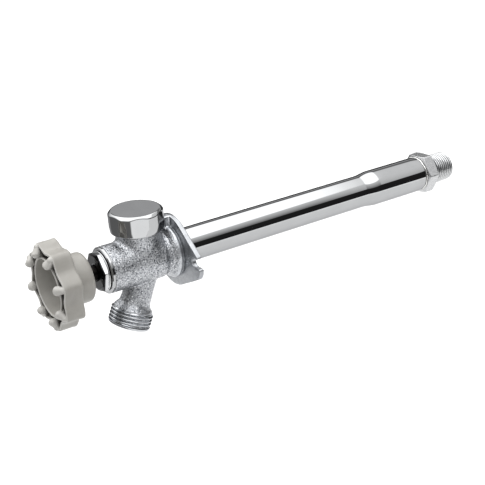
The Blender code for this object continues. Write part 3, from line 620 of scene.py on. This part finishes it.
def turned_chrome():
    """Satin plate over lathe marks round the tube's axis, with painted shade, near black, in the pipe
    thread's roots.
    """
    finish = Finish("satin chrome over turned metal", 1.0)
    wave = finish.node("ShaderNodeTexWave", {"Vector": finish.place},
                       {"Scale": 1200.0, "Distortion": 1.2, "Detail": 2.0}, bands_direction="Y")
    grain = finish.noise(0.5, 4.0)
    plate = finish.ramp(finish.noise(0.9, 3.0), (0.3, (0.40, 0.405, 0.415)), (0.7, (0.55, 0.555, 0.56)))
    place = finish.node("ShaderNodeSeparateXYZ", {"Vector": finish.place}).outputs
    square = finish.maths("ADD", finish.maths("MULTIPLY", place["X"], place["X"]),
                          finish.maths("MULTIPLY", place["Z"], place["Z"]))
    untapered = finish.maths("ADD", finish.maths("SQRT", square, 0.0),
                             finish.maths("MULTIPLY", place["Y"], PIPE_TAPER))
    root = (PIPE_LARGE + HEX_BACK * PIPE_TAPER - 0.75) * MM
    limits = {"From Min": root, "From Max": root + 0.6 * MM}
    over_root = finish.node("ShaderNodeMapRange", {"Value": untapered}, limits)
    # painted shade: near-black colour at the thread's root radius, paling towards the crests, standing in
    # for the shade in the grooves
    thread = finish.ramp(over_root.outputs[0], (0.0, (0.07, 0.075, 0.08)), (0.9, (0.56, 0.565, 0.57)))
    finish.colour(finish.mixed(finish.band("Y", HEX_BACK + 0.3, HEX_BACK + 0.6), plate, thread))
    finish.roughness(finish.ramp(grain, (0.3, 0.22), (0.75, 0.36)))
    finish.bumps((wave.outputs["Fac"], 0.12, 0.03), (grain, 0.3, 0.06))
    return finish.material


def braze_metal():
    finish = Finish("silver braze", 1.0)
    lumps = finish.noise(1.3, 2.0, 0.8)
    finish.colour(finish.ramp(lumps, (0.3, (0.60, 0.60, 0.59)), (0.7, (0.82, 0.82, 0.80))))
    finish.roughness(finish.ramp(finish.noise(0.6, 3.0), (0.3, 0.10), (0.8, 0.3)))
    finish.bumps((lumps, 0.8, 0.3))
    return finish.material


def handle_grey():
    """Grey moulding, with a painted highlight on the front edges and painted shade in the slots between the
    cup and the skirt.
    """
    finish = Finish("warm grey moulding", 0.0)
    finish.shader.inputs["Specular IOR Level"].default_value = 0.45
    cloud = finish.noise(9.0, 3.0, 0.3)
    grain = finish.noise(0.45, 4.0)
    coat = finish.ramp(finish.maths("ADD", cloud, finish.maths("MULTIPLY", grain, 0.3)),
                       (0.4, (0.251, 0.241, 0.221)), (0.85, (0.296, 0.286, 0.264)))
    # painted highlight: paler colour on the front edges, standing in for the light they catch from above
    painted_rim_highlight = finish.ramp(grain, (0.3, (0.35, 0.342, 0.322)), (0.7, (0.44, 0.431, 0.408)))
    # painted shade: near-black colour standing in for the shade in the slots between the cup and the skirt
    painted_slot_shade = finish.ramp(grain, (0.3, (0.022, 0.02, 0.018)), (0.7, (0.045, 0.042, 0.037)))
    before_web = finish.maths("SUBTRACT", 1.0, finish.band("Y", SKIRT_BACK - 3.0, SKIRT_BACK - 1.5))
    inside_skirt = finish.maths("SUBTRACT", 1.0, finish.reached(LOBE_VALLEY - 1.2, LOBE_VALLEY - 0.4))
    shadowed = finish.maths("MULTIPLY", finish.band("Y", HANDLE_RIM + 0.5, HANDLE_RIM + 2.0), before_web)
    between_walls = finish.maths("MULTIPLY", finish.reached(CUP_RIM + 0.1, CUP_RIM + 0.7), inside_skirt)
    # the band puts the painted highlight on the handle's front edges
    coat = finish.mixed(finish.band("Y", HANDLE_RIM + 0.2, HANDLE_RIM + 0.7), painted_rim_highlight, coat)
    # the masks put the painted shade inside the slots, between the cup's wall and the skirt and in front of
    # the web
    finish.colour(finish.mixed(finish.maths("MULTIPLY", shadowed, between_walls), coat, painted_slot_shade))
    finish.roughness(finish.ramp(grain, (0.3, 0.30), (0.75, 0.44)))
    finish.bumps((cloud, 0.12, 0.2), (finish.noise(1.4, 2.0), 0.12, 0.06), (grain, 0.25, 0.03))
    return finish.material


def turned_brass():
    """Brass with lathe marks, its own colour where the nut covers it, and painted shade, near black, on the
    stem in front of the nut.
    """
    finish = Finish("turned brass", 1.0)
    wave = finish.node("ShaderNodeTexWave", {"Vector": finish.place},
                       {"Scale": 900.0, "Distortion": 1.0, "Detail": 2.0}, bands_direction="Y")
    cloud = finish.noise(3.5, 4.0, 0.5)
    brass_colour = finish.ramp(cloud, (0.3, (0.60, 0.41, 0.16)), (0.75, (0.78, 0.60, 0.31)))
    # painted shade: near-black colour standing in for the shade on the stem between the nut and the handle
    painted_stem_shade = finish.ramp(cloud, (0.3, (0.008, 0.0075, 0.007)), (0.75, (0.02, 0.018, 0.016)))
    finish.colour(finish.mixed(finish.band("Y", *STEM_SHADE_EDGE), painted_stem_shade, brass_colour))
    finish.roughness(finish.ramp(finish.noise(0.7, 4.0), (0.3, 0.18), (0.8, 0.36)))
    finish.bumps((wave.outputs["Fac"], 0.12, 0.03), (cloud, 0.1, 0.05))
    return finish.material


def stainless():
    finish = Finish("bright stainless steel", 1.0)
    grain = finish.noise(0.3, 4.0)
    finish.colour(finish.ramp(finish.noise(2.0, 3.0), (0.3, (0.56, 0.56, 0.56)), (0.8, (0.68, 0.68, 0.69))))
    finish.roughness(finish.ramp(grain, (0.3, 0.16), (0.8, 0.34)))
    finish.bumps((grain, 0.15, 0.03))
    return finish.material


def black_rubber():
    finish = Finish("black rubber", 0.0)
    cloud = finish.noise(2.0, 4.0)
    finish.colour(finish.ramp(cloud, (0.3, (0.018, 0.018, 0.019)), (0.8, (0.045, 0.045, 0.046))))
    finish.roughness(finish.ramp(cloud, (0.3, 0.45), (0.8, 0.7)))
    finish.bumps((finish.noise(0.3, 3.0), 0.3, 0.04))
    return finish.material


def white_nylon():
    finish = Finish("natural nylon", 0.0)
    finish.shader.inputs["Subsurface Weight"].default_value = 0.15
    cloud = finish.noise(5.0, 3.0)
    finish.colour(finish.ramp(cloud, (0.3, (0.70, 0.69, 0.64)), (0.8, (0.82, 0.81, 0.77))))
    finish.roughness(finish.ramp(finish.noise(0.6, 3.0), (0.3, 0.32), (0.8, 0.5)))
    finish.bumps((finish.noise(0.5, 3.0), 0.15, 0.03))
    return finish.material


FINISHES = {
    "cast_chrome": cast_chrome(),
    "polished_chrome": polished_chrome(),
    "nut_chrome": nut_chrome(),
    "thread_chrome": thread_chrome(),
    "satin_chrome": turned_chrome(),
    "braze": braze_metal(),
    "handle_grey": handle_grey(),
    "brass": turned_brass(),
    "stainless": stainless(),
    "rubber": black_rubber(),
    "nylon": white_nylon(),
}


def finished(obj, slot, body, *nodes, finish=None):
    """Gives a new piece its material, picked by finish or else by slot, and its body, and lets it stand for
    CAD nodes.
    """
    obj.data.materials.append(FINISHES[finish or slot])
    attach(obj, body)
    if nodes:
        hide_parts(*nodes)
    return obj


# ---------------------------------------------------------------- casting

def flange_plane(x, z):
    """Plane distance to the flange: a disc and two ears on each side in one taut line, less two slots."""
    side = np.abs(x)
    disc = (0.0, 0.0, FLANGE_DISC)
    top = (EAR_X, EAR_TOP_Z, EAR)
    low = (EAR_X, EAR_LOW_Z, EAR)
    plate = np.minimum(taut_pair(side, z, disc, top), taut_pair(side, z, disc, low))
    plate = np.minimum(plate, taut_pair(side, z, top, low))
    slot = taut_pair(side, z, (SLOT_X, SLOT_Z, SLOT_HALF), (2 * SLOT_X, SLOT_Z, SLOT_HALF + 0.01))
    return smooth_max(plate, -slot, 1.2)


def casting_outside(x, y, z):
    radial = np.hypot(x, z)
    hub = np.interp(y, HUB_PLACES, HUB_RADII)
    barrel = rounded(radial - hub, between(y, BARREL_FRONT + COLLAR_LONG - 0.4, -1.5), 0.3)
    about_boss = np.hypot(x, y - BOSS_Y)
    boss = np.interp(z, (BOSS_STEP - 0.4, BOSS_STEP + 0.4), (BOSS, BOSS_NECK))
    boss = rounded(about_boss - boss, between(z, 0, BOSS_TOP), 0.3)
    body = smooth_min(barrel, boss, 3.4)

    high, about_spout = spout_coordinates(x, y, z)
    neck = np.interp(high, NECK_HEIGHTS, NECK_RADII)
    neck = rounded(about_spout - neck, between(high, NECK_HEIGHTS[0], NECK_TOP), 0.2)
    body = smooth_min(body, neck, 1.0)

    flange = rounded(flange_plane(x, z), between(y, -FLANGE_THICK, 0), 0.35)
    body = smooth_min(body, flange, 0.7)
    rib = rounded(np.abs(x) - RIB_HALF, between(y, RIB_FRONT, RIB_BACK), 0.9)
    rib = rounded(rib, between(z, RIB_LOW, RIB_HIGH), 0.9)
    return smooth_min(body, rib, 1.2)


def spout_coordinates(x, y, z):
    """Height above the outlet's face along the spout's axis, and distance from that axis."""
    high = (y - OUTLET[1]) * SPOUT_UP[1] + (z - OUTLET[2]) * SPOUT_UP[2]
    across = (y - OUTLET[1]) * SPOUT_UP[2] - (z - OUTLET[2]) * SPOUT_UP[1]
    return high, np.hypot(x, across)


def casting_bores(x, y, z):
    """The barrel's bore and chamber, the boss with its riser, the jacket, the drops and the spout."""
    radial = np.hypot(x, z)
    about_boss = np.hypot(x, y - BOSS_Y)
    high, about_spout = spout_coordinates(x, y, z)
    bores = drum(radial, y, NUT_SOCKET, BARREL_FRONT - 9, NUT_SOCKET_BACK, BORE_EDGE)
    bores = np.maximum(bores, -drum(radial, y, SLEEVE, SLEEVE_FRONT, SLEEVE_BACK, BORE_EDGE))
    for radius, front, back in ((SCREW_BORE, -50.0, CHAMBER_FRONT + 1),
                                (CHAMBER, CHAMBER_FRONT, CHAMBER_BACK),
                                (TUBE_SOCKET, CHAMBER_BACK - 0.2, 9.0),
                                (BRAZE_RECESS, BRAZE_RECESS_FRONT, 9.0)):
        bores = np.minimum(bores, drum(radial, y, radius, front, back, BORE_EDGE))
    for radius, low, top in ((RISER_BORE, 4.0, RISER_TOP + 0.2), (BOSS_BORE, BOSS_FLOOR, 40.0)):
        bores = np.minimum(bores, drum(about_boss, z, radius, low, top, BORE_EDGE))
    riser = drum(about_boss, z, RISER, 0.0, RISER_TOP, BORE_EDGE)
    bores = np.maximum(bores, -np.maximum(riser, RISER_BORE - about_boss))
    jacket = rounded(between(radial, JACKET_INNER, JACKET_OUTER),
                     between(y, BOSS_Y - JACKET_HALF, BOSS_Y + JACKET_HALF), BORE_EDGE)
    jacket = np.maximum(jacket, -np.maximum(about_boss - RISER - 0.3, -z))
    bores = np.minimum(bores, jacket)
    drops = drum(np.hypot(np.abs(x) - DROP_X, y - BOSS_Y), z, DROP, DROP_LOW, DROP_HIGH, BORE_EDGE)
    bores = np.minimum(bores, drops)
    spout = np.interp(high, (OUTLET_DEPTH, OUTLET_DEPTH + 1.5), (OUTLET_BORE, SPOUT_BORE))
    return np.minimum(bores, rounded(about_spout - spout, between(high, -5.0, SPOUT_BORE_TOP), BORE_EDGE))


def casting_field(x, y, z):
    return smooth_max(casting_outside(x, y, z), -casting_bores(x, y, z), 0.3)


def roughened(obj, amount):
    """Moves each point along its normal by noise, less on the flange and in the bores."""
    mesh = obj.data
    normals = np.empty(len(mesh.vertices) * 3)
    mesh.vertices.foreach_get("normal", normals)
    points = np.empty(len(mesh.vertices) * 3)
    mesh.vertices.foreach_get("co", points)
    normals, points = normals.reshape(-1, 3), points.reshape(-1, 3)
    pebble = np.array([noise.fractal(Vector(p * PEBBLES_PER_M), 1.0, 2.0, 3) for p in points])
    swell = np.array([noise.noise(Vector(p * SWELLS_PER_M)) for p in points])
    in_bore = casting_bores(*(points / MM).T) < 0.4
    share = np.where(in_bore | (points[:, 1] > MACHINED_BACK * MM), 0.25, 1.0)
    points += normals * (share * (pebble * amount + swell * amount * 1.6) * MM)[:, None]
    mesh.vertices.foreach_set("co", points.reshape(-1))
    mesh.update()


def casting():
    low = (CASTING_LOW[0], BARREL_FRONT + COLLAR_LONG - 1, CASTING_LOW[2])
    obj = surface("casting", casting_field, low, CASTING_HIGH, CASTING_STEP)
    roughened(obj, PEBBLE_HEIGHT)
    return finished(obj, "cast_chrome", "root", "body_casting")


def barrel_collar():
    """The machined mouth of the barrel, in front of its cast skin."""
    back = BARREL_FRONT + COLLAR_LONG
    outline = [
        (10.7, BARREL_FRONT + 0.5), (11.2, BARREL_FRONT), (13.9, BARREL_FRONT),
        (14.6, BARREL_FRONT + 0.6),
        (14.6, back - 1.0), (14.2, back - 0.8), (14.2, back - 0.3), (14.55, back), (14.4, back + 0.4),
        (10.7, back + 0.4),
    ]
    obj = wrapped("barrel_collar", eased(outline, 0.15), count=128)
    return finished(obj, "polished_chrome", "root", "body_casting")


def spout_thread():
    """The hose thread below the spout's cast neck, with its bore."""
    outline = [
        (OUTLET_BORE + 0.5, 0), (12.7, 0), (13.0, 0.35), (13.0, HOSE_RIM - 0.5),
        (HOSE_MAJOR - 0.3, HOSE_RIM), (HOSE_MAJOR, HOSE_RIM + 0.2), (HOSE_MAJOR, HOSE_TOP - 0.2),
        (HOSE_MINOR - 0.1, HOSE_TOP), (OUTLET_BORE, HOSE_TOP), (OUTLET_BORE, 0.5),
    ]
    thread_top = HOSE_RIM + HOSE_TURNS * HOSE_PITCH + 0.5
    shape = threaded(HOSE_RIM + 0.1, thread_top, HOSE_PITCH, HOSE_MAJOR - HOSE_MINOR, 0.15, 0.5)

    def below_neck(radius, height, angle):
        above = (height > thread_top) & (radius > HOSE_MINOR)
        return np.where(above, HOSE_MINOR, shape(radius, height, angle))

    def outside_only(radius, height, angle):
        return np.where(radius > HOSE_MINOR - 1, below_neck(radius, height, angle), radius)

    outline = finer(eased(outline, 0.2), 0.16)
    obj = wrapped("spout_thread", outline, UP_SPOUT, 160, outside_only)
    return finished(obj, "satin_chrome", "root", "body_casting", finish="thread_chrome")


# ---------------------------------------------------------------- tube, inlet and nut

def tube():
    outside = [(TUBE, TUBE_LOW[1])]
    for share in np.linspace(0, 1, 41):
        rise = (1 - math.cos(math.pi * share)) / 2
        outside.append((TUBE + (SWELL - TUBE) * rise, SWELL_START + (SWELL_END - SWELL_START) * share))
    outside += [(SWELL, TUBE_HIGH[1] - 0.5), (SWELL - 0.3, TUBE_HIGH[1])]
    inside = [(radius - TUBE_WALL, height) for radius, height in reversed(outside[:-1])]
    inside.insert(0, (SWELL - TUBE_WALL, TUBE_HIGH[1]))
    obj = wrapped("wall_tube", finer(outside + inside, 6.0), count=160)
    return finished(obj, "polished_chrome", "root", "tube")


def inlet_braze():
    """A fillet of solder that ran unevenly round the joint between the tube and the hexagon."""
    low, high = BRAZE_LOW[1], BRAZE_HIGH[1]

    def runs(radius, height, angle):
        lump = 0.16 * np.sin(3 * angle + 1) + 0.12 * np.sin(7 * angle + 2 * height)
        lump += 0.08 * np.sin(13 * angle)
        return np.where(radius > 11.6, radius + lump, radius)

    outline = [(11.35, low), (SWELL - 0.1, low), (SWELL + 0.25, low + 0.35), (SWELL + 0.2, high - 0.3),
               (SWELL - 0.3, high), (11.35, high)]
    obj = wrapped("inlet_braze_bead", eased(outline, 0.3, parts=4), count=144, shape=runs)
    return finished(obj, "braze", "root", "inlet_braze_ring")


def inlet():
    """The seat and spigot inside the tube, the hexagon and the taper pipe thread."""
    end = INLET_HIGH[1]
    outline = [
        (5.2, SEAT_FACE), (6.3, SEAT_FACE), (6.9, 173.8), (10.45, 173.8), (11.05, 174.4),
        (11.05, HEX_FRONT), (12.6, HEX_FRONT), (15.0, HEX_FRONT + 1.1), (15.0, HEX_BACK - 1.1),
        (12.6, HEX_BACK), (PIPE_LARGE, HEX_BACK), (PIPE_LARGE, end - 1.0), (PIPE_LARGE - 1.2, end),
        (8.3, end), (8.0, end - 0.3), (8.0, 215.2), (6.4, 215.2), (6.4, 185.8), (5.2, 182.8),
    ]
    hexagon = hexed(INLET_FLAT, INLET_TURN, HEX_FRONT, HEX_BACK)
    thread = threaded(HEX_BACK + 1.6, end + 1.0, PIPE_PITCH, 0.95, 0.1, 0.8, PIPE_TAPER)

    def shape(radius, height, angle):
        radius = hexagon(radius, height, angle)
        outer = (radius > 8.8) & (height > HEX_BACK + 0.1)
        return np.where(outer, thread(radius, height, angle), radius)

    obj = wrapped("inlet_fitting_turned", finer(eased(outline, 0.2), 0.2), count=240, shape=shape)
    return finished(obj, "satin_chrome", "root", "inlet_fitting")


def nut():
    """The packing nut: hexagon and collar outside the barrel, threaded shank inside it."""
    front, hex_back = NUT_LOW[1], NUT_HEX_BACK
    outline = [
        (STEM_SMOOTH + 0.3, front + 0.4), (STEM_SMOOTH + 0.8, front), (10.6, front), (12.99, front + 1.1),
        (12.99, hex_back - 0.5), (11.8, hex_back), (12.2, hex_back + 0.1), (12.6, hex_back + 0.3),
        (12.6, -51.4), (10.3, -51.3), (10.3, NUT_SHANK_BACK), (8.6, NUT_SHANK_BACK),
        (8.6, NUT_HOLLOW_BACK), (STEM_SMOOTH + 0.3, NUT_HOLLOW_BACK),
    ]
    hexagon = hexed(NUT_FLAT, NUT_TURN, front, hex_back + 0.05)
    shank = threaded(-50.6, -44.2, 1.4, 0.7, 0.2, 0.5)

    def shape(radius, height, angle):
        radius = np.where(radius > 9.5, hexagon(radius, height, angle), radius)
        on_shank = (radius > 9.5) & (radius < 10.4) & (height > -51)
        return np.where(on_shank, shank(radius, height, angle), radius)

    obj = wrapped("packing_nut_turned", finer(eased(outline, 0.18), 0.22), count=240, shape=shape)
    return finished(obj, "polished_chrome", "root", "packing_nut", finish="nut_chrome")


def cap():
    top, bottom = CAP_HIGH[2], CAP_LOW[2]
    outline = [
        (0, top), (15.1, top), (16.2, top - 0.9), (16.9, top - 1.7), (16.9, bottom + 4.0),
        (16.6, bottom + 0.5), (16.2, bottom), (13.9, bottom), (13.9, top - 3.4), (12.5, top - 2.0),
        (0, top - 2.0),
    ]
    hexagon = hexed(CAP_FLAT, CAP_TURN, bottom, top, 0.5)

    def shape(radius, height, angle):
        return np.where(radius > 14.4, hexagon(radius, height, angle), radius)

    rounded_outline = finer(eased(outline, 0.6, closed=False, parts=5), 0.5, closed=False)
    obj = wrapped("vacuum_cap", rounded_outline, UP_BOSS, 240, shape, closed=False)
    return finished(obj, "polished_chrome", "root", "vacuum_breaker_cap")


# ---------------------------------------------------------------- stem and handle

def stem():
    """The stem's screw: square nose, smooth neck and coarse thread, hollow at the back for the rod."""
    front, back = STEM_LOW[1], STEM_HIGH[1]
    outline = [
        (2.3, front + 0.3), (2.6, front), (4.2, front), (4.65, front + 0.5), (4.65, -60.6),
        (STEM_SMOOTH, -60.2), (STEM_SMOOTH, -39.4), (6.35, -39.2), (6.35, -29.0), (5.3, -28.8),
        (5.3, back), (3.5, back), (3.5, -37.8), (0, -37.8),
    ]
    inner = [(0, -58.0), (2.3, -58.0)]
    thread = threaded(-39.2, -28.9, STEM_PITCH, 1.05, 0.4, 0.5)

    def shape(radius, height, angle):
        off_flat = (angle + math.pi / 4) % (math.pi / 2) - math.pi / 4
        square = smooth_min(radius, SQUARE / 2 / np.cos(off_flat), 0.2)
        radius = np.where((height < -60.5) & (radius > 4), square, radius)
        return np.where(radius > 5.4, thread(radius, height, angle), radius)

    loop = finer(eased(inner + outline, 0.15, closed=False), 0.25, closed=False)
    obj = wrapped("stem_screw_turned", loop, count=96, shape=shape, closed=False)
    return finished(obj, "brass", "stem", "stem_screw")


def fold_to_lobe(x, z):
    """Seen from the nearest lobe: outwards along it, across it, from the axis, and the angle off it."""
    angle = np.arctan2(z, x)
    sector = 2 * math.pi / LOBES
    off = (angle - LOBE_TURN + sector / 2) % sector - sector / 2
    radial = np.hypot(x, z)
    return radial * np.cos(off), radial * np.sin(off), radial, off


def handle_field(x, y, z):
    """A scalloped skirt and a cup joined by a web and spokes, a round knob on each spoke, and the hub."""
    out, across, radial, off = fold_to_lobe(x, z)
    from_tip = np.sqrt((off * LOBES / math.pi) ** 2 + LOBE_ROUND ** 2) - LOBE_ROUND
    rise = np.clip(1 - from_tip / (1 - LOBE_ROUND), 0, 1) ** LOBE_CURVE
    lobe = LOBE_VALLEY + (LOBE_TIP - LOBE_VALLEY) * rise
    outline = (radial - lobe) * 0.95
    skirt = rounded(np.maximum(outline, -outline - SKIRT_WALL), between(y, HANDLE_RIM, SKIRT_BACK), 0.8)
    web = rounded(outline + 0.2, between(y, SKIRT_BACK - 2.0, SKIRT_BACK), 0.8)

    cone = CUP_RIM - (y - HANDLE_RIM) * CUP_TAPER
    hollow = smooth_max(radial - cone, y - CUP_FLOOR, 2.4)
    wall = rounded(radial - cone - CUP_WALL, between(y, HANDLE_RIM, SKIRT_BACK), 0.5)
    hub = drum(radial, y, HUB, SKIRT_BACK - 4, HANDLE_HIGH[1], 2.6)
    body = smooth_min(smooth_min(wall, hub, 1.2), smooth_min(skirt, web, 1.0), 1.2)

    spoke = rounded(np.abs(across) - SPOKE_HALF, between(out, SPOKE_START, LOBE_TIP - 1.2), 0.4)
    spoke = rounded(spoke, between(y, HANDLE_RIM + 0.9, SKIRT_BACK - 0.5), 0.5)
    body = smooth_min(body, spoke, 1.0)
    body = smooth_max(body, -hollow, 0.5)

    share = np.clip((out - KNOB_START) / KNOB_LONG, 0, 1)
    past, behind = out - KNOB_START - KNOB_LONG * share, y - KNOB_Y - KNOB_SLOPE * share
    knob = np.sqrt(past ** 2 + across ** 2 + behind ** 2)
    body = smooth_min(body, knob - (KNOB - KNOB_NARROWS * share), 0.3)

    broach = SQUARE / 2 + 0.3
    square = rounded(rounded(np.abs(x) - broach, np.abs(z) - broach, 0.3), between(y, -76, -50), 0.1)
    return smooth_max(body, -square, 0.3)


def handle():
    obj = surface("handle_moulding", handle_field, HANDLE_LOW, HANDLE_HIGH, HANDLE_STEP)
    return finished(obj, "handle_grey", "stem", "handle")


def screw_field(x, y, z):
    back, front = SCREW_HIGH[1], SCREW_LOW[1]
    under_head = WASHER_LOW[1] - 0.3
    radial = np.hypot(x, z)
    shank = drum(radial, y, SCREW_SHANK, under_head - 0.5, back, 0.4)
    dome = np.sqrt(radial ** 2 + (y - front - SCREW_DOME) ** 2) - SCREW_DOME
    head = smooth_max(drum(radial, y, SCREW_HEAD, front, under_head, 0.2), dome, 0.5)
    slot = np.maximum(np.abs(z) - SCREW_SLOT_HALF, y - front - SCREW_SLOT_DEEP)
    return smooth_max(smooth_min(head, shank, 0.3), -slot, 0.15)


def handle_fastening():
    screw = surface("handle_screw_turned", screw_field, SCREW_LOW, SCREW_HIGH, SCREW_STEP)
    finished(screw, "stainless", "stem", "handle_screw")
    low, high = WASHER_LOW[1], WASHER_HIGH[1]
    outline = [(2.3, low + 0.2), (2.5, low), (6.2, low), (6.5, low + 0.35), (6.5, high), (2.3, high)]
    washer = wrapped("handle_washer_stamped", eased(outline, 0.15), count=72)
    finished(washer, "stainless", "stem", "handle_washer")


# ---------------------------------------------------------------- pieces that keep their CAD meshes

def carried_over():
    """Procedural materials for the inner pieces that keep their own meshes."""
    slots = {entry["node"]: entry["material_slot"] for entry in frame["record"]["subparts"]}
    for name, obj in frame["nodes"].items():
        for slot in obj.material_slots:
            slot.material = FINISHES[slots[name]]


# ---------------------------------------------------------------- camera, light and floor

def camera():
    data = bpy.data.cameras.new("camera")
    data.lens = CAMERA_LENS
    data.sensor_width = 36.0
    data.clip_start = 0.01
    obj = bpy.data.objects.new("camera", data)
    bpy.context.scene.collection.objects.link(obj)
    turn = Matrix.Rotation(CAMERA_AZIMUTH, 4, "Z")
    turn = turn @ Matrix.Rotation(math.pi / 2 - CAMERA_ELEVATION, 4, "X")
    obj.matrix_world = Matrix.Translation(CAMERA_AT) @ turn @ Matrix.Rotation(CAMERA_ROLL, 4, "Z")
    bpy.context.scene.camera = obj


def floor():
    """A round pale table top under the object."""
    mesh = bpy.data.meshes.new("floor")
    bm = bmesh.new()
    bmesh.ops.create_circle(bm, cap_ends=True, segments=96, radius=FLOOR_RADIUS)
    bm.to_mesh(mesh)
    bm.free()
    obj = bpy.data.objects.new("floor", mesh)
    obj.location = (0, INLET_HIGH[1] * MM, CASTING_LOW[2] * MM - FLOOR_DROP)
    bpy.context.scene.collection.objects.link(obj)
    finish = Finish("pale table", 0.0)
    finish.colour(finish.ramp(finish.noise(60.0, 2.0), (0.3, 0.71), (0.7, 0.73)))
    finish.roughness(finish.ramp(finish.noise(3.0, 2.0), (0.3, 0.8), (0.7, 0.9)))
    obj.data.materials.append(finish.material)


def world_ramp(tree, source, stops):
    """Greys at positions along source."""
    node = tree.nodes.new("ShaderNodeValToRGB")
    tree.links.new(source, node.inputs["Fac"])
    stripes = node.color_ramp.elements
    while len(stripes) < len(stops):
        stripes.new(0.5)
    for stripe, (position, value) in zip(stripes, stops):
        stripe.position = position
        stripe.color = (value, value, value, 1)
    return node.outputs["Color"]


def world_share(tree, source, low, high):
    """0 below the low value of source, 1 above the high one, and eased between."""
    node = tree.nodes.new("ShaderNodeMapRange")
    node.interpolation_type = "SMOOTHSTEP"
    node.inputs["From Min"].default_value = low
    node.inputs["From Max"].default_value = high
    tree.links.new(source, node.inputs["Value"])
    return node.outputs[0]


def world_mix(tree, share, first, second):
    """Blend of two colours, the second either a socket or a grey."""
    node = tree.nodes.new("ShaderNodeMix")
    node.data_type = "RGBA"
    tree.links.new(share, node.inputs[0])
    tree.links.new(first, node.inputs[6])
    if isinstance(second, float):
        node.inputs[7].default_value = (second, second, second, 1)
    else:
        tree.links.new(second, node.inputs[7])
    return node.outputs[2]


def studio():
    """A soft overhead light, a dark room on the +X side of the table and a grey wall on the -X side.

    Each ramp goes from straight down at 0 to straight up at 1. The room is paler near the handle and has
    a dimmer ceiling towards the inlet, and the wall has a window near the handle.
    """
    world = bpy.data.worlds.new("studio")
    bpy.context.scene.world = world
    world.use_nodes = True
    tree = world.node_tree
    background = tree.nodes["Background"]
    place = tree.nodes.new("ShaderNodeTexCoord")
    parts = tree.nodes.new("ShaderNodeSeparateXYZ")
    tree.links.new(place.outputs["Generated"], parts.inputs[0])
    height = tree.nodes.new("ShaderNodeMapRange")
    height.inputs["From Min"].default_value = -1.0
    tree.links.new(parts.outputs["Z"], height.inputs["Value"])
    up = height.outputs[0]
    floor_light = [(0.0, 0.7), (0.395, 0.62)]
    dark = floor_light + [(0.40, 0.008), (0.655, 0.01)]
    room = world_ramp(tree, up, dark + [(0.67, 0.12), (0.85, 0.42), (0.87, 1.0)])
    room_end = world_ramp(tree, up, dark + [(0.67, 0.34), (0.85, 0.46), (1.0, 0.5)])
    room_near = world_ramp(tree, up, [(0.0, 0.7), (0.395, 0.6), (0.43, 0.17), (0.64, 0.17), (0.70, 0.34),
                                      (0.85, 0.6), (0.87, 1.0)])
    shade = [(0.0, 0.45), (0.48, 0.04), (0.62, 0.04), (0.65, 0.29), (0.69, 0.31), (0.705, 0.10),
             (0.79, 0.12)]
    wall = world_ramp(tree, up, shade + [(0.805, 1.0)])
    wall_end = world_ramp(tree, up, shade + [(0.805, 0.48)])
    window = world_ramp(tree, up, [(0.0, 0.45), (0.48, 0.12), (0.52, 0.06), (0.60, 0.3), (0.72, 0.65),
                                   (0.86, 1.0)])
    along = parts.outputs["Y"]
    far = world_share(tree, along, 0.55, 0.62)
    far_room = world_mix(tree, far, room, room_end)
    far_wall = world_mix(tree, far, wall, wall_end)
    left = world_mix(tree, world_share(tree, along, -0.1, 0.2), window, far_wall)
    right = world_mix(tree, world_share(tree, along, 0.1, 0.3), room_near, far_room)
    light = world_mix(tree, world_share(tree, parts.outputs["X"], -0.15, 0.15), left, right)
    under_end = tree.nodes.new("ShaderNodeMath")
    under_end.operation = "MULTIPLY"
    tree.links.new(world_share(tree, along, -0.42, -0.62), under_end.inputs[0])
    tree.links.new(world_share(tree, parts.outputs["Z"], 0.1, -0.05), under_end.inputs[1])
    light = world_mix(tree, under_end.outputs[0], light, UNDER_END_LIGHT)
    seen = tree.nodes.new("ShaderNodeLightPath")
    light = world_mix(tree, seen.outputs["Is Camera Ray"], light, SEEN_BACKGROUND)
    tree.links.new(light, background.inputs["Color"])
    background.inputs["Strength"].default_value = LIGHT_STRENGTH


bpy.context.scene.view_settings.view_transform = "Standard"
camera()
studio()
floor()
carried_over()
casting()
barrel_collar()
spout_thread()
tube()
inlet_braze()
inlet()
nut()
cap()
stem()
handle()
handle_fastening()
